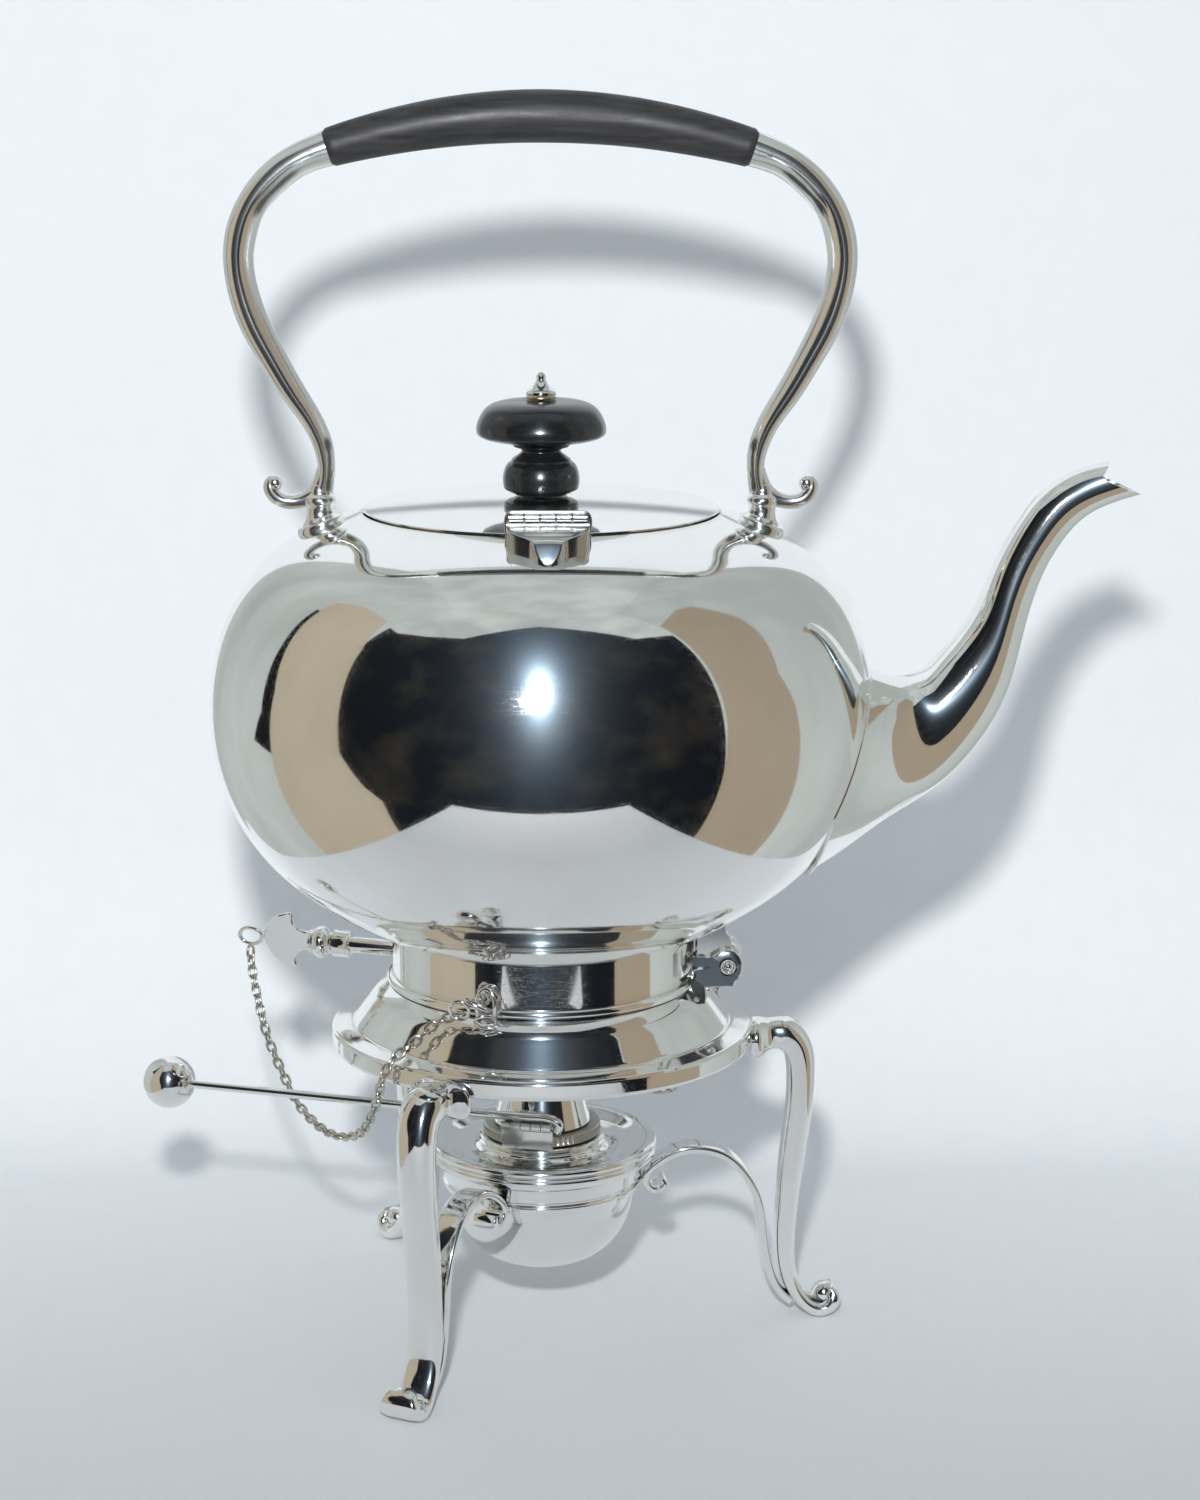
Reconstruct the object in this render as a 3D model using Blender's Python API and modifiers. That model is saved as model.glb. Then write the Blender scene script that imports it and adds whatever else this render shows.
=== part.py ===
"""Spirit kettle on stand: a tilting kettle with a hinged lid, locked on a three-legged
stand by two chained pins, over a spirit burner with a hinged snuffer.

Metres, +Z up. Every shape is drawn about the kettle's upright axis, which stands
axis_x from the origin so that the whole part is centred over it.
"""

import bpy
import bmesh
import numpy as np
from math import cos, pi, radians, sin, sqrt
from mathutils import Matrix, Vector

# Clearances and steps shared by all pieces
gap = 0.0003
overrun = 0.0040
weld = 0.000001
round_steps = 32
small_steps = 12

# Stand: collar, flange and the ears at its spout side
collar_radius = 0.0405
collar_wall = 0.0016
collar_top_z = 0.1130
collar_foot_z = 0.0987
collar_bead = 0.0015
flange_swell = 0.0100
flange_ledge = 0.0065
cove_foot_radius = collar_radius + flange_swell
flange_radius = cove_foot_radius + flange_ledge
flange_wall = 0.0013
flange_rim_top_z = 0.0861
flange_rim_bottom_z = 0.0813
cove_foot_z = 0.0880
pivot_standoff = 0.0099
pivot_reach = collar_radius + pivot_standoff
pivot_z = 0.1019
pin_radius = 0.0022
ear_radius = 0.0040
ear_thickness = 0.0018
tongue_thickness = 0.0038
tongue_radius = 0.0037
shoulder_shares = [(0.10, 0.00), (0.42, 0.22), (0.66, 0.52), (1.00, 1.00)]

# Kettle body, seated on the collar's rim
body_radius = 0.0882
body_wall = 0.0012
seat_z = collar_top_z + gap
mouth_z = 0.2262
bottom_sag = 0.0042
seat_width = 0.0032
body_outline_shares = [
    (0.467, 0.000), (0.565, 0.029), (0.693, 0.089), (0.800, 0.177), (0.896, 0.296), (0.966, 0.417),
    (1.000, 0.549), (0.990, 0.673), (0.935, 0.796), (0.812, 0.895), (0.669, 0.958), (0.536, 1.000)]
mouth_radius = body_outline_shares[-1][0] * body_radius

# Spout, seen from the side: its upper and lower outline as shares of its span beyond the
# body and of its rise above its root, and its half width as a share of that at the root
spout_span = 0.0700
spout_rise = 0.0800
spout_root_share = 0.405
spout_root_z = seat_z + spout_root_share * (mouth_z - seat_z)
spout_root_half_width = 0.0235
spout_wall = 0.0012
spout_hole_radius = 0.0110
spout_shares = [
    ((-0.06, 0.33), (-0.26, -0.38), 1.00), ((0.16, 0.29), (0.05, -0.21), 0.79),
    ((0.24, 0.34), (0.25, -0.09), 0.68), ((0.32, 0.43), (0.42, 0.06), 0.56),
    ((0.39, 0.52), (0.52, 0.25), 0.46), ((0.44, 0.63), (0.58, 0.46), 0.35),
    ((0.49, 0.73), (0.63, 0.61), 0.30), ((0.55, 0.82), (0.70, 0.72), 0.28),
    ((0.64, 0.91), (0.77, 0.80), 0.27), ((0.75, 0.97), (0.88, 0.86), 0.27),
    ((0.88, 1.00), (1.00, 0.89), 0.26), ((1.01, 1.01), (1.13, 0.92), 0.25)]
upper_lip_share = (0.88, 1.00)
lower_lip_share = (1.00, 0.89)
beak_notch_share = (0.84, 0.95)

# The part is centred on its origin between the spout's lip and the lever's ball
spout_reach = body_radius + spout_span * lower_lip_share[0]
ball_reach = 0.1095
axis_x = (ball_reach - spout_reach) / 2

# Lid, seated on the body's mouth
lid_radius = mouth_radius - gap
lid_wall = 0.0010
lid_rise = 0.0027
bezel_play = 0.0009
bezel_radius = mouth_radius - body_wall - bezel_play
bezel_wall = 0.0008
bezel_depth = 0.0036
lid_hinge_rise = 0.0052
lid_hinge_z = mouth_z + lid_hinge_rise
lid_hinge_standoff = 0.0011
lid_hinge_reach = mouth_radius + lid_hinge_standoff
lid_hinge_length = 0.0200
lid_hinge_shift = 0.0017
lid_knuckle_radius = 0.0013
lid_hinge_pin_radius = 0.0006
lid_leaf_length = 0.0105
leaf_thickness = 0.0010
leaf_shares = [(0.97, 0.00), (0.92, 0.16), (0.58, 0.34), (0.36, 0.62), (0.24, 0.90), (0.10, 1.00)]

# Knob
knob_baluster_radius = 0.0101
knob_baluster_height = 0.0133
baluster_shares = [
    (0.71, 0.00), (0.80, 0.04), (0.93, 0.11), (0.98, 0.19), (1.00, 0.33), (0.96, 0.49), (0.88, 0.60),
    (0.77, 0.68), (0.74, 0.74), (0.52, 0.85), (0.72, 0.95), (0.74, 1.00)]
knob_cap_radius = 0.0171
knob_cap_height = 0.0112
cap_shares = [
    (0.44, 0.00), (0.91, 0.12), (1.00, 0.28), (0.96, 0.55), (0.85, 0.76), (0.64, 0.93), (0.28, 1.00)]
washer_radius = 0.0040
washer_height = 0.0007
finial_radius = 0.0041
finial_height = 0.0060
finial_shares = [
    (0.92, 0.00), (1.00, 0.12), (0.79, 0.25), (0.54, 0.42), (0.34, 0.58), (0.30, 0.76), (0.20, 0.93)]
stud_radius = 0.0013
nut_width = 0.0062
nut_height = 0.0024

# Handle: a black grip on two arms. An arm's centre line is given from the grip to its foot
# by shares of its bow and of its rise, and its half sizes by shares of the arm's half width
grip_half_length = 0.0550
grip_mid_z = 0.3284
grip_end_z = 0.3202
grip_mid_radius = 0.0068
grip_end_radius = 0.0050
handle_foot_share = 0.661
handle_foot_reach = handle_foot_share * body_radius
handle_foot_rise = 0.0047
handle_foot_z = mouth_z + handle_foot_rise
handle_bow = 0.0230
arm_half_width = 0.0045
arm_shares = [
    ((0.33, 0.97), 0.96, 1.02), ((0.62, 0.91), 0.96, 1.00), ((0.84, 0.84), 0.89, 0.98),
    ((0.96, 0.75), 0.91, 0.96), ((0.97, 0.69), 0.89, 0.93), ((0.91, 0.59), 0.89, 0.91),
    ((0.76, 0.49), 0.89, 0.89), ((0.55, 0.39), 0.82, 0.84), ((0.31, 0.29), 0.76, 0.80),
    ((0.08, 0.20), 0.64, 0.73), ((-0.04, 0.13), 0.58, 0.69), ((-0.07, 0.06), 0.49, 0.64),
    ((-0.04, 0.00), 0.51, 0.62)]
tail_length = 0.0145
tail_shares = [(-0.08, 0.35), (0.06, 0.06), (0.29, -0.08), (0.59, -0.14), (0.82, -0.04), (0.92, 0.12)]
tail_radius = 0.0020
tail_bud_radius = 0.0025
handle_base_radius = 0.0046
socket_share = 0.92
tenon_radius = 0.0028
tenon_length = 0.0075
rivet_radius = 0.0008
rivet_reach = 0.0042

# Lock pins and their chains
lock_angle = 162
lock_pin_z = 0.1027
lock_travel = 0.0132
lock_drawn_reach = collar_radius + collar_bead + gap + lock_travel
lock_shaft_length = 0.0189
lug_shaft_length = 0.0093
pin_collar_radius = 0.0037
pin_collar_length = 0.0047
pin_bead_radius = 0.0045
pin_bead_length = 0.0062
pin_plate_length = 0.0155
pin_plate_half_height = 0.0076
pin_plate_thickness = 0.0014
pin_nib_radius = 0.0012
pin_nib_length = 0.0011
wing_shares = [
    (0.30, 0.00), (0.38, 0.08), (0.50, 0.19), (0.72, 0.28), (0.90, 0.31), (1.00, 0.37), (0.97, 0.48),
    (0.84, 0.64), (0.62, 0.80), (0.36, 0.93), (0.14, 1.00)]
eye_radius = 0.0024
eye_half_length = 0.0033
eye_wire = 0.0006
chain_radius = 0.0011
staple_front_angle = 249
staple_back_angle = 69
staple_wire = 0.0006
staple_radius = 0.0022
lock_block_width = 0.0080
lock_block_depth = 0.0052
lock_block_drop = 0.0034

# Legs: their centre line by shares of the spread beyond the rim and of the rim's height,
# half thickness and half width by shares of the leg's half width, and the tilt in degrees
leg_count = 3
first_leg_angle = 3
leg_spread = 0.0244
leg_half_width = 0.0050
leg_shares = [
    ((-0.10, 0.995), 0.96, 1.66, 90), ((0.06, 0.995), 1.06, 1.76, 90), ((0.17, 1.00), 0.88, 1.24, 90),
    ((0.34, 1.00), 0.88, 1.12, 70), ((0.49, 0.97), 0.84, 1.04, 38), ((0.55, 0.916), 0.80, 1.00, 12),
    ((0.57, 0.85), 0.76, 0.98, 0), ((0.56, 0.76), 0.74, 0.96, -5), ((0.52, 0.66), 0.72, 0.94, -7),
    ((0.48, 0.56), 0.68, 0.94, -7), ((0.44, 0.44), 0.62, 0.92, -5), ((0.41, 0.295), 0.56, 0.92, -1),
    ((0.43, 0.194), 0.50, 0.94, 9), ((0.50, 0.12), 0.46, 0.96, 27), ((0.62, 0.060), 0.44, 1.04, 52),
    ((0.79, 0.023), 0.44, 1.20, 84), ((0.93, 0.034), 0.40, 1.24, 128), ((1.00, 0.071), 0.34, 1.20, 180),
    ((0.93, 0.106), 0.28, 1.12, 240), ((0.84, 0.098), 0.18, 1.00, 285)]
foot_share = 0.79
heel_share = 0.55

# Straps that carry the burner ring: the same way, by shares of the span from the ring to the
# leg's heel and of the strap's height, ending in a volute against the ring
ring_radius = 0.0272
strap_span = flange_radius + heel_share * leg_spread - ring_radius
strap_height = 0.0489
strap_half_width = 0.0038
strap_half_thickness = 0.0012
strap_shares = [
    ((1.00, 0.06), 1.00, 0.95, 50), ((0.88, 0.16), 1.00, 0.97, 38), ((0.81, 0.31), 1.00, 1.00, 14),
    ((0.77, 0.52), 1.00, 1.00, 7), ((0.74, 0.69), 1.00, 1.00, 16), ((0.66, 0.84), 1.00, 1.00, 38),
    ((0.53, 0.96), 1.00, 1.00, 58), ((0.38, 1.00), 1.00, 1.00, 88), ((0.24, 0.98), 1.00, 1.00, 98)]
volute_radius = 0.0036
volute_end_share = 0.55
volute_turn = 235

# Burner
ring_wall = 0.0016
ring_top_z = 0.0466
ring_bottom_z = 0.0400
bowl_radius = ring_radius - ring_wall - gap
bowl_wall = 0.0009
bowl_bottom_z = 0.0170
bowl_turn_z = ring_bottom_z
bowl_flat_share = 0.32
plate_overhang = 0.0043
plate_radius = ring_radius + plate_overhang
plate_edge_top_z = 0.0512
plate_top_z = 0.0544
plate_wall = 0.0011
milled_radius = 0.0166
milled_height = 0.0029
milled_top_z = plate_top_z + gap + milled_height
milled_teeth = 32
milled_tooth_depth = 0.0004
wick_tube_radius = 0.0090
wick_tube_wall = 0.0009
wick_tube_top_z = 0.0606
wick_tube_bottom_z = 0.0300
wick_play = 0.0005
wick_radius = wick_tube_radius - wick_tube_wall - wick_play
wick_top_z = 0.0630
wick_bottom_z = 0.0185

# Snuffer
snuffer_angle = 257
snuffer_radius = 0.0133
snuffer_wall = 0.0009
snuffer_height = 0.0185
snuffer_crown = 0.0030
snuffer_taper_angle = 15
snuffer_hinge_standoff = 0.0024
snuffer_hinge_reach = milled_radius + snuffer_hinge_standoff
snuffer_hinge_rise = 0.0041
snuffer_hinge_z = milled_top_z + snuffer_hinge_rise
snuffer_hinge_length = 0.0140
snuffer_knuckle_radius = 0.0013
snuffer_pin_radius = 0.0006
rod_radius = 0.00115
rod_rise = 0.0034
ball_radius = 0.0072
ball_y = 0.0050
ball_rise = 0.0054
ball_z = snuffer_hinge_z + ball_rise

SILVER = ("silver", (0.90, 0.90, 0.88, 1.0), 0.10, 1.0)
HORN = ("black_horn", (0.015, 0.014, 0.014, 1.0), 0.35, 0.0)
GRIP = ("black_wood", (0.020, 0.018, 0.017, 1.0), 0.50, 0.0)
BRASS = ("brass", (0.72, 0.55, 0.28, 1.0), 0.30, 1.0)
WICK = ("wick_cotton", (0.70, 0.64, 0.52, 1.0), 0.95, 0.0)


def clear_scene():
    """Remove what a new file holds."""
    for item in list(bpy.data.objects):
        bpy.data.objects.remove(item, do_unlink=True)


def make_material(recipe):
    """A Principled material by its name, colour, roughness and metallic value."""
    name, colour, roughness, metallic = recipe
    material = bpy.data.materials.get(name)
    if material is None:
        material = bpy.data.materials.new(name)
        material.use_nodes = True
        shader = material.node_tree.nodes["Principled BSDF"]
        shader.inputs["Base Color"].default_value = colour
        shader.inputs["Roughness"].default_value = roughness
        shader.inputs["Metallic"].default_value = metallic
    return material


def own_material(node, recipe):
    """Each piece has its own material, a copy of the recipe's."""
    material = make_material(recipe).copy()
    material.name = node + "_" + recipe[0]
    return material


def new_object(name, data):
    """An object standing on the kettle's axis, in the part's collection."""
    item = bpy.data.objects.new(name, data)
    item.location = (axis_x, 0, 0)
    kettle_parts.objects.link(item)
    return item


def smooth_curve(points, per_span):
    """Points on a Catmull-Rom curve through the given ones, ends included."""
    points = [np.array(p, dtype=float) for p in points]
    ends = [2 * points[0] - points[1]] + points + [2 * points[-1] - points[-2]]
    curve = []
    for k in range(1, len(ends) - 2):
        a, b, c, d = ends[k - 1:k + 3]
        for step in range(per_span):
            t = step / per_span
            curve.append(0.5 * (2 * b + (c - a) * t + (2 * a - 5 * b + 4 * c - d) * t * t
                                + (3 * b - a - 3 * c + d) * t ** 3))
    curve.append(points[-1])
    return curve


def arc(centre, radius, start, end, steps):
    """Points (reach, height) on an arc, by its angles in degrees."""
    angles = np.radians(np.linspace(start, end, steps))
    return [(centre[0] + radius * cos(a), centre[1] + radius * sin(a)) for a in angles]


def turned(name, outline, closed=False, steps=round_steps):
    """Turn an outline of (radius, height) points about the upright axis.

    The outline runs down its outer side. An open one starts and ends on the axis.
    """
    mesh = bpy.data.meshes.new(name)
    count = len(outline)
    edges = [(k, k + 1) for k in range(count - 1)]
    if closed:
        edges.append((count - 1, 0))
    mesh.from_pydata([(r, 0, z) for r, z in outline], edges, [])
    item = new_object(name, mesh)
    screw = item.modifiers.new("turn", "SCREW")
    screw.steps = steps
    screw.render_steps = steps
    screw.use_merge_vertices = True
    screw.merge_threshold = weld
    screw.use_smooth_shade = True
    return item


def face_outward(shape):
    """Turn all faces of a closed shape outward."""
    bmesh.ops.recalc_face_normals(shape, faces=shape.faces)
    if shape.calc_volume(signed=True) < 0:
        bmesh.ops.reverse_faces(shape, faces=shape.faces)


def bake(item):
    """Turn an object, a curve too, into the plain mesh that its modifiers make."""
    bpy.context.view_layer.update()
    graph = bpy.context.evaluated_depsgraph_get()
    mesh = bpy.data.meshes.new_from_object(item.evaluated_get(graph))
    name = item.name
    matrix = item.matrix_world.copy()
    bpy.data.objects.remove(item, do_unlink=True)
    shape = bmesh.new()
    shape.from_mesh(mesh)
    bmesh.ops.remove_doubles(shape, verts=shape.verts, dist=weld)
    face_outward(shape)
    shape.to_mesh(mesh)
    shape.free()
    fresh = bpy.data.objects.new(name, mesh)
    fresh.name = name
    kettle_parts.objects.link(fresh)
    fresh.matrix_world = matrix
    return fresh


def combine(item, other, operation):
    """Boolean one mesh object with another, which is used up."""
    boolean = item.modifiers.new("combine", "BOOLEAN")
    boolean.operation = operation
    boolean.solver = "EXACT"
    boolean.object = other
    result = bake(item)
    bpy.data.objects.remove(other, do_unlink=True)
    return result


def cut(item, cutter):
    return combine(item, cutter, "DIFFERENCE")


def join(item, other):
    return combine(item, other, "UNION")


def from_bmesh(name, shape):
    face_outward(shape)
    mesh = bpy.data.meshes.new(name)
    shape.to_mesh(mesh)
    shape.free()
    return new_object(name, mesh)


def block(name, size, centre, angle=0):
    """A box by its size and centre, turned about the upright axis by an angle in degrees."""
    shape = bmesh.new()
    place = Matrix.Rotation(radians(angle), 4, "Z") @ Matrix.Translation(centre)
    bmesh.ops.create_cube(shape, size=1, matrix=place @ Matrix.Diagonal((*size, 1)))
    return from_bmesh(name, shape)


def rod(name, radius, start, end, steps=small_steps, end_radius=None):
    """A cylinder or cone between two points."""
    start, end = Vector(start), Vector(end)
    along = end - start
    turn = Vector((0, 0, 1)).rotation_difference(along).to_matrix().to_4x4()
    shape = bmesh.new()
    far = radius if end_radius is None else end_radius
    bmesh.ops.create_cone(shape, cap_ends=True, segments=steps, radius1=radius, radius2=far,
                          depth=along.length, matrix=Matrix.Translation((start + end) / 2) @ turn)
    return from_bmesh(name, shape)


def ball(name, radius, centre, steps=small_steps):
    shape = bmesh.new()
    bmesh.ops.create_uvsphere(shape, u_segments=steps, v_segments=steps // 2, radius=radius,
                              matrix=Matrix.Translation(centre))
    return from_bmesh(name, shape)


def wire(name, points, radius, closed=False):
    """A bent wire along points, with closed ends."""
    curve = bpy.data.curves.new(name, "CURVE")
    curve.dimensions = "3D"
    curve.bevel_depth = radius
    curve.bevel_resolution = 2
    curve.use_fill_caps = not closed
    line = curve.splines.new("POLY")
    line.points.add(len(points) - 1)
    for spot, p in zip(line.points, points):
        spot.co = (*p, 1)
    line.use_cyclic_u = closed
    return bake(new_object(name, curve))


def plate(name, outline, thickness):
    """A flat outline stood up in the XZ plane, thick along Y and centred on it."""
    curve = bpy.data.curves.new(name, "CURVE")
    curve.dimensions = "2D"
    curve.fill_mode = "BOTH"
    curve.extrude = thickness / 2
    line = curve.splines.new("POLY")
    line.points.add(len(outline) - 1)
    for spot, (x, z) in zip(line.points, outline):
        spot.co = (x, z, 0, 1)
    line.use_cyclic_u = True
    item = new_object(name, curve)
    item.rotation_euler.x = pi / 2
    return bake(item)


def loft(name, rings):
    """A closed body through rings of points, with flat ends."""
    shape = bmesh.new()
    loops = [[shape.verts.new(p) for p in ring] for ring in rings]
    count = len(loops[0])
    for near, far in zip(loops, loops[1:]):
        for k in range(count):
            after = (k + 1) % count
            shape.faces.new([near[k], near[after], far[after], far[k]])
    shape.faces.new(loops[0][::-1])
    shape.faces.new(loops[-1])
    return from_bmesh(name, shape)


def ring_shares(count, squareness):
    """Unit points round a rounded-square section, as shares of its half sizes."""
    power = 1 / squareness
    ring = []
    for k in range(count):
        angle = 2 * pi * (k + 0.5) / count
        c, s = cos(angle), sin(angle)
        ring.append((np.sign(c) * abs(c) ** power, np.sign(s) * abs(s) ** power))
    return ring


def bar_in_plane(name, sections, angle, squareness=1.8, count=8, grow=0):
    """A bent bar that lies in an upright plane through the axis.

    Each section is ((reach, height), half thickness, half width, tilt): the tilt, in
    degrees, is how far the section's thickness leans up from the outward direction.
    """
    turn = Matrix.Rotation(radians(angle), 4, "Z")
    rings = []
    for (reach, height), thick, wide, tilt in sections:
        thick, wide = thick + grow, wide + grow
        out, up = cos(radians(tilt)), sin(radians(tilt))
        rings.append([turn @ Vector((reach + u * thick * out, v * wide, height + u * thick * up))
                      for u, v in ring_shares(count, squareness)])
    return loft(name, rings)


def finish(item, recipe, carrier, sharp_angle=35):
    """Material, smooth shading and the empty that carries the piece."""
    if item.modifiers:
        item.data.materials.append(own_material(item.name, recipe))
    else:
        item.data.materials.clear()
        item.data.materials.append(own_material(item.name, recipe))
        item.data.shade_smooth()
        item.data.set_sharp_from_angle(angle=radians(sharp_angle))
    bpy.context.view_layer.update()
    item.parent = carrier
    item.matrix_parent_inverse = carrier.matrix_world.inverted()
    return item


def joint_empty(name, spot, carrier=None):
    """An empty on a joint's axis, given about the kettle's axis."""
    empty = bpy.data.objects.new(name, None)
    empty.location = Vector(spot) + Vector((axis_x, 0, 0))
    kettle_parts.objects.link(empty)
    bpy.context.view_layer.update()
    if carrier is not None:
        empty.parent = carrier
        empty.matrix_parent_inverse = carrier.matrix_world.inverted()
    return empty


def around(angle, reach, height):
    """A point by its angle round the axis in degrees, its reach and its height."""
    return Vector((reach * cos(radians(angle)), reach * sin(radians(angle)), height))


def body_outline(offset):
    """The body's outside from the seat's outer edge up to the mouth, moved in by offset."""
    rise = mouth_z - seat_z
    points = [np.array((r * body_radius, seat_z + z * rise)) for r, z in body_outline_shares]
    moved = []
    for k, p in enumerate(points):
        along = points[min(k + 1, len(points) - 1)] - points[max(k - 1, 0)]
        along /= np.linalg.norm(along)
        moved.append((p[0] - offset * along[1], p[1] + offset * along[0]))
    return moved


def body_solid(name, grow):
    """The body's outside as a solid, grown by a clearance, for fitting pieces to it."""
    side = body_outline(-grow)
    seat = body_outline_shares[0][0] * body_radius - seat_width
    outline = [(0, mouth_z + grow)] + side[::-1] + [(seat, seat_z - grow), (0, seat_z - bottom_sag - grow)]
    return bake(turned(name, outline))


def make_body(carrier):
    """The kettle's shell: open at the mouth, flat where it sits on the collar."""
    outside = body_outline(0)
    inside = body_outline(body_wall)
    seat = outside[0][0] - seat_width
    bottom = seat_z - bottom_sag
    inner = [(0, bottom + body_wall), (seat, seat_z + body_wall)] + inside[1:-1:2]
    mouth = [(outside[-1][0] - body_wall, mouth_z - body_wall), (outside[-1][0] - body_wall, mouth_z)]
    outline = inner + mouth + outside[::-1] + [(seat, seat_z), (0, bottom)]
    body = bake(turned("kettle_body", outline))
    reach = body_radius
    hole = rod("hole", spout_hole_radius, (reach - 5 * overrun, 0, spout_root_z),
               (reach + overrun, 0, spout_root_z), 16)
    finish(cut(body, hole), SILVER, carrier)


def spout_point(share):
    """A point (reach, height) by its shares of the spout's span and rise."""
    return (body_radius + spout_span * share[0], spout_root_z + spout_rise * share[1])


def spout_rings(inset, count=16):
    """Rings of the spout's outside, moved in by an inset."""
    rings = []
    for upper_share, lower_share, wide_share in spout_shares:
        upper, lower = np.array(spout_point(upper_share)), np.array(spout_point(lower_share))
        wide = spout_root_half_width * wide_share
        middle, half = (upper + lower) / 2, (upper - lower) / 2
        length = np.linalg.norm(half)
        half = half * (length - inset) / length
        rings.append([(middle[0] + half[0] * cos(a), (wide - inset) * sin(a), middle[1] + half[1] * cos(a))
                      for a in np.linspace(0, 2 * pi, count, endpoint=False)])
    return rings


def make_spout(carrier):
    """A hollow beak, cut to the body's side, with a short upper and a long lower lip."""
    spout = loft("spout", spout_rings(0))
    spout = cut(spout, body_solid("body_fit", gap))
    rings = spout_rings(spout_wall)
    first, last = np.array(rings[0]), np.array(rings[-1])
    before, after = np.array(rings[1]), np.array(rings[-2])
    rings.insert(0, [tuple(p) for p in first + (first - before)])
    rings.append([tuple(p) for p in last + (last - after)])
    spout = cut(spout, loft("bore", rings))
    upper, lower, notch = [np.array(spout_point(s)) for s in (upper_lip_share, lower_lip_share, beak_notch_share)]
    above = upper + 2 * (upper - notch)
    below = lower + (lower - notch)
    beyond = above + 2 * (lower - notch)
    cutter = plate("mouth", [tuple(p) for p in (notch, above, beyond, below)], 4 * overrun)
    finish(cut(spout, cutter), SILVER, carrier)


def make_tongue(carrier):
    """The kettle's half of the front lug: a plate with an eye for the pin."""
    low = pivot_z
    near = collar_radius + 2 * gap
    far = pivot_reach + tongue_radius * 0.6
    top = seat_z + ear_radius
    outline = arc((pivot_reach, pivot_z), tongue_radius, -180, 0, 11)[::-1]
    side = (pivot_reach + tongue_radius, low)
    outline = [(near, top), (far, top + ear_radius), (side[0], low + tongue_radius)] + outline
    outline += [(pivot_reach - tongue_radius, low + tongue_radius / 2), (near, low + tongue_radius)]
    tongue = plate("lug_tongue", outline, tongue_thickness)
    hole = rod("hole", pin_radius + gap, (pivot_reach, -overrun, low), (pivot_reach, overrun, low))
    tongue = cut(tongue, hole)
    finish(cut(tongue, body_solid("body_fit", gap)), SILVER, carrier)


def make_lock_block(carrier):
    """The kettle's catch inside the collar, bored for the lock pin."""
    outer = lock_drawn_reach - lock_shaft_length - gap
    low = lock_pin_z - lock_block_drop
    centre = (outer - lock_block_depth / 2, 0, (low + seat_z) / 2)
    lug = block("lock_block", (lock_block_depth, lock_block_width, seat_z - low), centre, lock_angle)
    hole = rod("hole", pin_radius + gap, around(lock_angle, outer - 3 * overrun, lock_pin_z),
               around(lock_angle, outer + overrun, lock_pin_z))
    lug = cut(lug, hole)
    finish(cut(lug, body_solid("body_fit", gap)), SILVER, carrier)


def arm_point(share):
    """A point (reach, height) by its shares of an arm's bow and rise."""
    line = handle_foot_reach + (grip_half_length - handle_foot_reach) * share[1]
    return (line + handle_bow * share[0], handle_foot_z + (grip_end_z - handle_foot_z) * share[1])


def make_handle(carrier):
    """Two cast arms with outward scrolls, a black grip riveted between them."""
    end = (grip_half_length + gap, grip_end_z, grip_end_radius * socket_share, grip_end_radius * socket_share)
    fields = [end] + [arm_point(p) + (t * arm_half_width, w * arm_half_width) for p, t, w in arm_shares]
    tail_line = [(handle_foot_reach + x * tail_length, handle_foot_z + z * tail_length) for x, z in tail_shares]
    for side, label in ((-1, "left"), (1, "right")):
        rings = []
        for k, (x, z, thick, wide) in enumerate(fields):
            before, after = fields[max(k - 1, 0)], fields[min(k + 1, len(fields) - 1)]
            along = Vector((after[0] - before[0], 0, after[1] - before[1])).normalized()
            if k == 0:
                along = Vector((1, 0, grip_slope(grip_half_length))).normalized()
            normal = Vector((-along.z, 0, along.x))
            rings.append([(side * (x + u * thick * normal.x), v * wide, z + u * thick * normal.z)
                          for u, v in ring_shares(8, 1.25)])
        arm = loft("handle_arm_" + label, rings)
        tail = [(side * x, 0, z) for x, z in tail_line]
        arm = join(arm, wire("tail", tail, tail_radius))
        arm = join(arm, ball("bud", tail_bud_radius, tail[-1], 10))
        arm = cut(arm, tenon("socket", side, gap))
        arm = cut(arm, cross_rod("hole", side, rivet_radius + gap, 2 * grip_end_radius))
        finish(cut(arm, handle_base("base_fit", side, gap)), SILVER, carrier)
        base = handle_base("handle_base_" + label, side, 0)
        finish(cut(base, body_solid("body_fit", gap)), SILVER, carrier)
        rivet = cross_rod("grip_rivet_" + label, side, rivet_radius, grip_end_radius * socket_share)
        finish(rivet, SILVER, carrier)
    make_grip(carrier)


def handle_base(name, side, grow):
    """A turned foot for a handle arm, before it is fitted to the body's shoulder."""
    radius = handle_base_radius
    top = handle_foot_z - gap
    low = mouth_z - 2.5 * radius
    outline = [(0, top + grow), (radius * 0.72 + grow, top + grow), (radius * 0.86 + grow, top - radius * 0.2),
               (radius * 0.72 + grow, top - radius * 0.4), (radius + grow, top - radius * 1.4),
               (radius + grow, low), (0, low)]
    base = turned(name, outline, steps=small_steps)
    base.location.x += side * handle_foot_reach
    return bake(base)


def grip_height(x):
    """Height of the grip's centre line, a shallow arch."""
    return grip_mid_z - (grip_mid_z - grip_end_z) * (x / grip_half_length) ** 2


def grip_slope(x):
    return -2 * (grip_mid_z - grip_end_z) * x / grip_half_length ** 2


def grip_radius(x):
    return grip_mid_radius - (grip_mid_radius - grip_end_radius) * (abs(x) / grip_half_length) ** 1.8


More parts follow.
